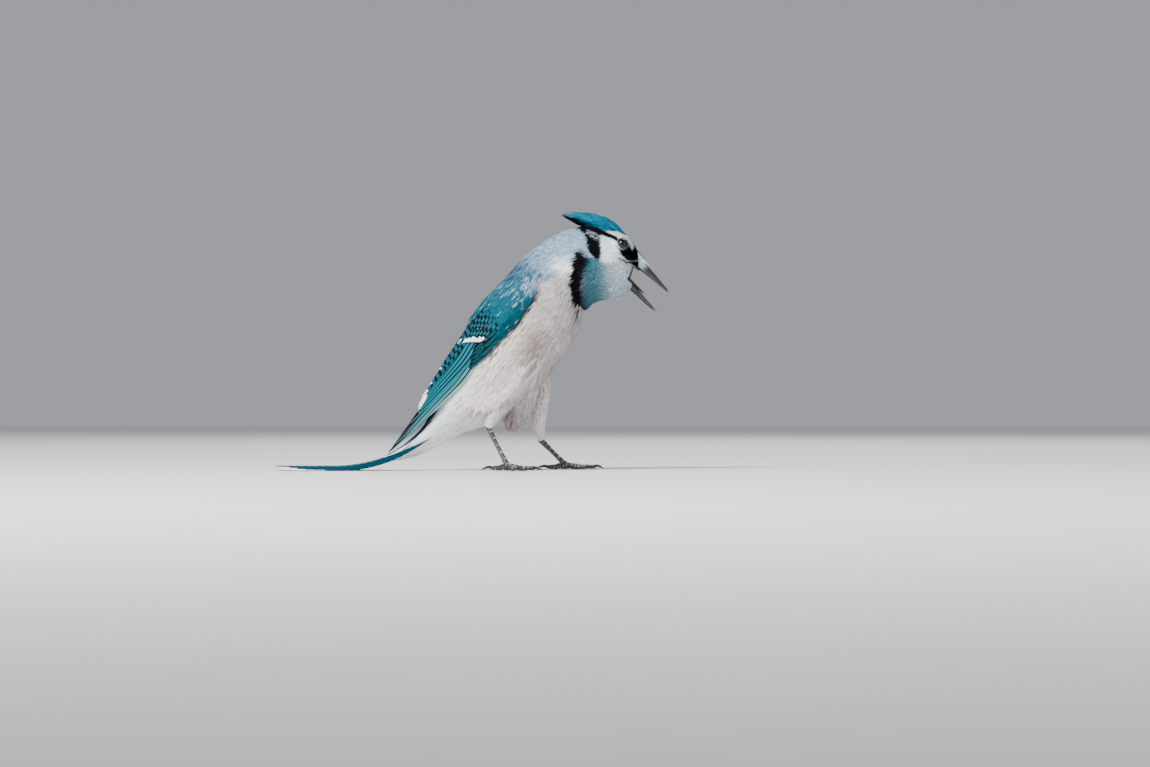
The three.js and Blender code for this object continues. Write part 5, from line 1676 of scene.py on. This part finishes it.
def make_foot(name, leg):
    ankle, ball = np.array(leg["ankle"]), np.array(leg["ball"], float)
    mid = (ankle + ball) / 2
    scuted_tube(f"{name}_leg", [ankle + (ankle - mid) * 0.15, ankle, mid, ball], [1.9, 1.8, 1.3, 1.75], 9, 0.3,
                (f"{name}_shank",), flesh=0.75)
    for toe, turn_by, length, claw_length, thick in TOES:
        turn = math.radians(leg["heading"] + leg["side"] * turn_by)
        d = np.array([math.cos(turn), math.sin(turn), 0])
        start = np.array([ball[0], ball[1], 2.4]) + d * 0.6

        def at(share, z):
            p = start + d * share * length
            return [p[0], p[1], z]

        line = [at(-0.08, 2.5), at(0, 2.4), at(0.3, 2.2), at(0.55, 1.35), at(0.8, 1.6), at(1, 1.4)]
        radii = np.array([1.5, 1.45, 1.05, 1.12, 0.86, 0.75]) * thick
        scuted_tube(f"{name}_{toe}_toe", line, radii, 7, 0.22)
        base = np.array(at(1, 1.5))
        out = [[*(base + d * far * claw_length)[:2], z] for far, z in CLAW_LINE]
        claw(f"{name}_{toe}_claw_horn", out, f"{name}_{toe}_claw")
    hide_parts(f"{name}_foot")


for name, leg in LEGS.items():
    make_foot(name, leg)
print("claws:", sum(piece.name.endswith("claw_horn") for piece in made))

# %% [markdown]
# ## Tongue
# A short dark tongue lies over the lower bill.

# %% Tongue piece
def tongue_material():
    """Moist tongue: grey-rose flesh with fine papillae, darker between them."""
    papillae = {"Scale": 2400.0}  # 0.4 mm across
    return two_tone_material("moist_tongue", (0.3, 0.4), (VORONOI, papillae), ("#6b4b4b", "#33262a"), (0.5, 0.0001))


TONGUE = tongue_material()


def make_tongue():
    root, tip = np.array([96.4, 0, 117.2]), np.array([107.6, 0, 106.0])
    at, turn = round_grid(0, 1, 24, 28)
    d = unit(tip - root)
    n = np.array([-d[2], 0, d[0]])
    round_tip = np.sqrt(np.clip((1 - at) / 0.12, 0.02, 1))
    wide = (2.5 - 1.5 * at) * round_tip
    above = 0.6 - 0.25 * np.exp(-(np.sin(turn) / 0.3) ** 2) - 0.2 * at
    below = 1.7 - 0.9 * at
    thick = np.where(np.cos(turn) > 0, above, below) * round_tip
    middle = root + (tip - root) * at[..., None]
    rings = middle + n * (thick * np.cos(turn))[..., None] + np.array([0, 1.0, 0]) * (wide * np.sin(turn))[..., None]
    piece = closed_loft("tongue_flesh", rings)
    keep(piece, TONGUE, ("tongue",))
    print("tongue length:", np.linalg.norm(tip - root).round(1), "mm")


make_tongue()


# %% [markdown]
# ## The floor
# The bird stands on a plain board, which takes its shadow and shows where the feet touch. It lies a
# hair below the soles, so that the two never share a face.

# %% Floor
FLOOR_SIZE, FLOOR_DROP = 6, 0.0003  # metres
bpy.ops.object.select_all(action="DESELECT")
bpy.ops.mesh.primitive_plane_add(size=FLOOR_SIZE, location=(0, 0, -FLOOR_DROP))
floor = bpy.context.object
floor.name = "floor"


def floor_material():
    """Matt painted board: an even pale grey with faint roller mottle."""
    mottle = {"Scale": 60.0, "Detail": 4.0}  # patches of 17 mm
    return two_tone_material("matt_painted_board", (0.9, 0.2), (NOISE, mottle), ("#c9c9c9", "#cfcfcf"), (0.05, 0.0002))


floor.data.materials.append(floor_material())
print("floor size:", tuple(round(s, 1) for s in floor.dimensions[:2]), "m")

# %% [markdown]
# ## The light
# Plumage shows its form in soft light from one side. One large lamp gives that, a weak one opens the
# shade and a third from behind draws the edge of the back. The sky is even and slightly blue.

# %% Light
LAMP_TARGET = (0, 0, 0.08)  # metres, the middle of the bird
world = bpy.data.worlds.new("studio")
bpy.context.scene.world = world
world.use_nodes = True
world.node_tree.nodes["Background"].inputs["Color"].default_value = (0.9, 0.93, 1.0, 1)
world.node_tree.nodes["Background"].inputs["Strength"].default_value = 0.42


def soft_light(name, place, size, power):
    """A square lamp at a place, in metres, that looks at the bird."""
    data = bpy.data.lights.new(name, "AREA")
    data.size = size
    data.energy = power
    lamp = bpy.data.objects.new(name, data)
    lamp.location = place
    direction = np.array(LAMP_TARGET) - np.array(place)
    lamp.rotation_euler = Vector(direction).to_track_quat("-Z", "Y").to_euler()
    bpy.context.scene.collection.objects.link(lamp)


soft_light("key", (-0.7, -1.2, 1.5), 0.5, 98)
soft_light("fill", (1.4, -0.9, 0.7), 1.2, 12)
soft_light("rim", (0.3, 1.4, 1.2), 0.8, 18)

# %% [markdown]
# ## The camera
# It looks level at the bird's right side, from far enough away that the view is almost flat.

# %% Camera
CAMERA_DISTANCE = 3.0  # metres
FIELD = (1150, 767)  # the view's width and height in units of the side view
VIEW_X, VIEW_Z = side_place(FIELD[0] / 2, FIELD[1] / 2)
FIELD_WIDTH = FIELD[0] * SIDE_UNIT * MM
SENSOR_WIDTH = 36.0
camera_data = bpy.data.cameras.new("camera")
camera_data.sensor_width = SENSOR_WIDTH
camera_data.lens = SENSOR_WIDTH * CAMERA_DISTANCE / FIELD_WIDTH
camera_data.clip_end = 20
camera = bpy.data.objects.new("camera", camera_data)
camera.location = ((VIEW_X - LENGTH_MIDDLE) * MM, -CAMERA_DISTANCE, VIEW_Z * MM)
camera.rotation_euler = (math.pi / 2, 0, 0)
bpy.context.scene.collection.objects.link(camera)
bpy.context.scene.camera = camera
print("lens:", round(camera_data.lens), "mm")

# %% [markdown]
# ## Sizes
# The number of pieces made and their triangles are printed.

# %% Sizes
print("pieces:", len(made), "triangles:", triangles(made))
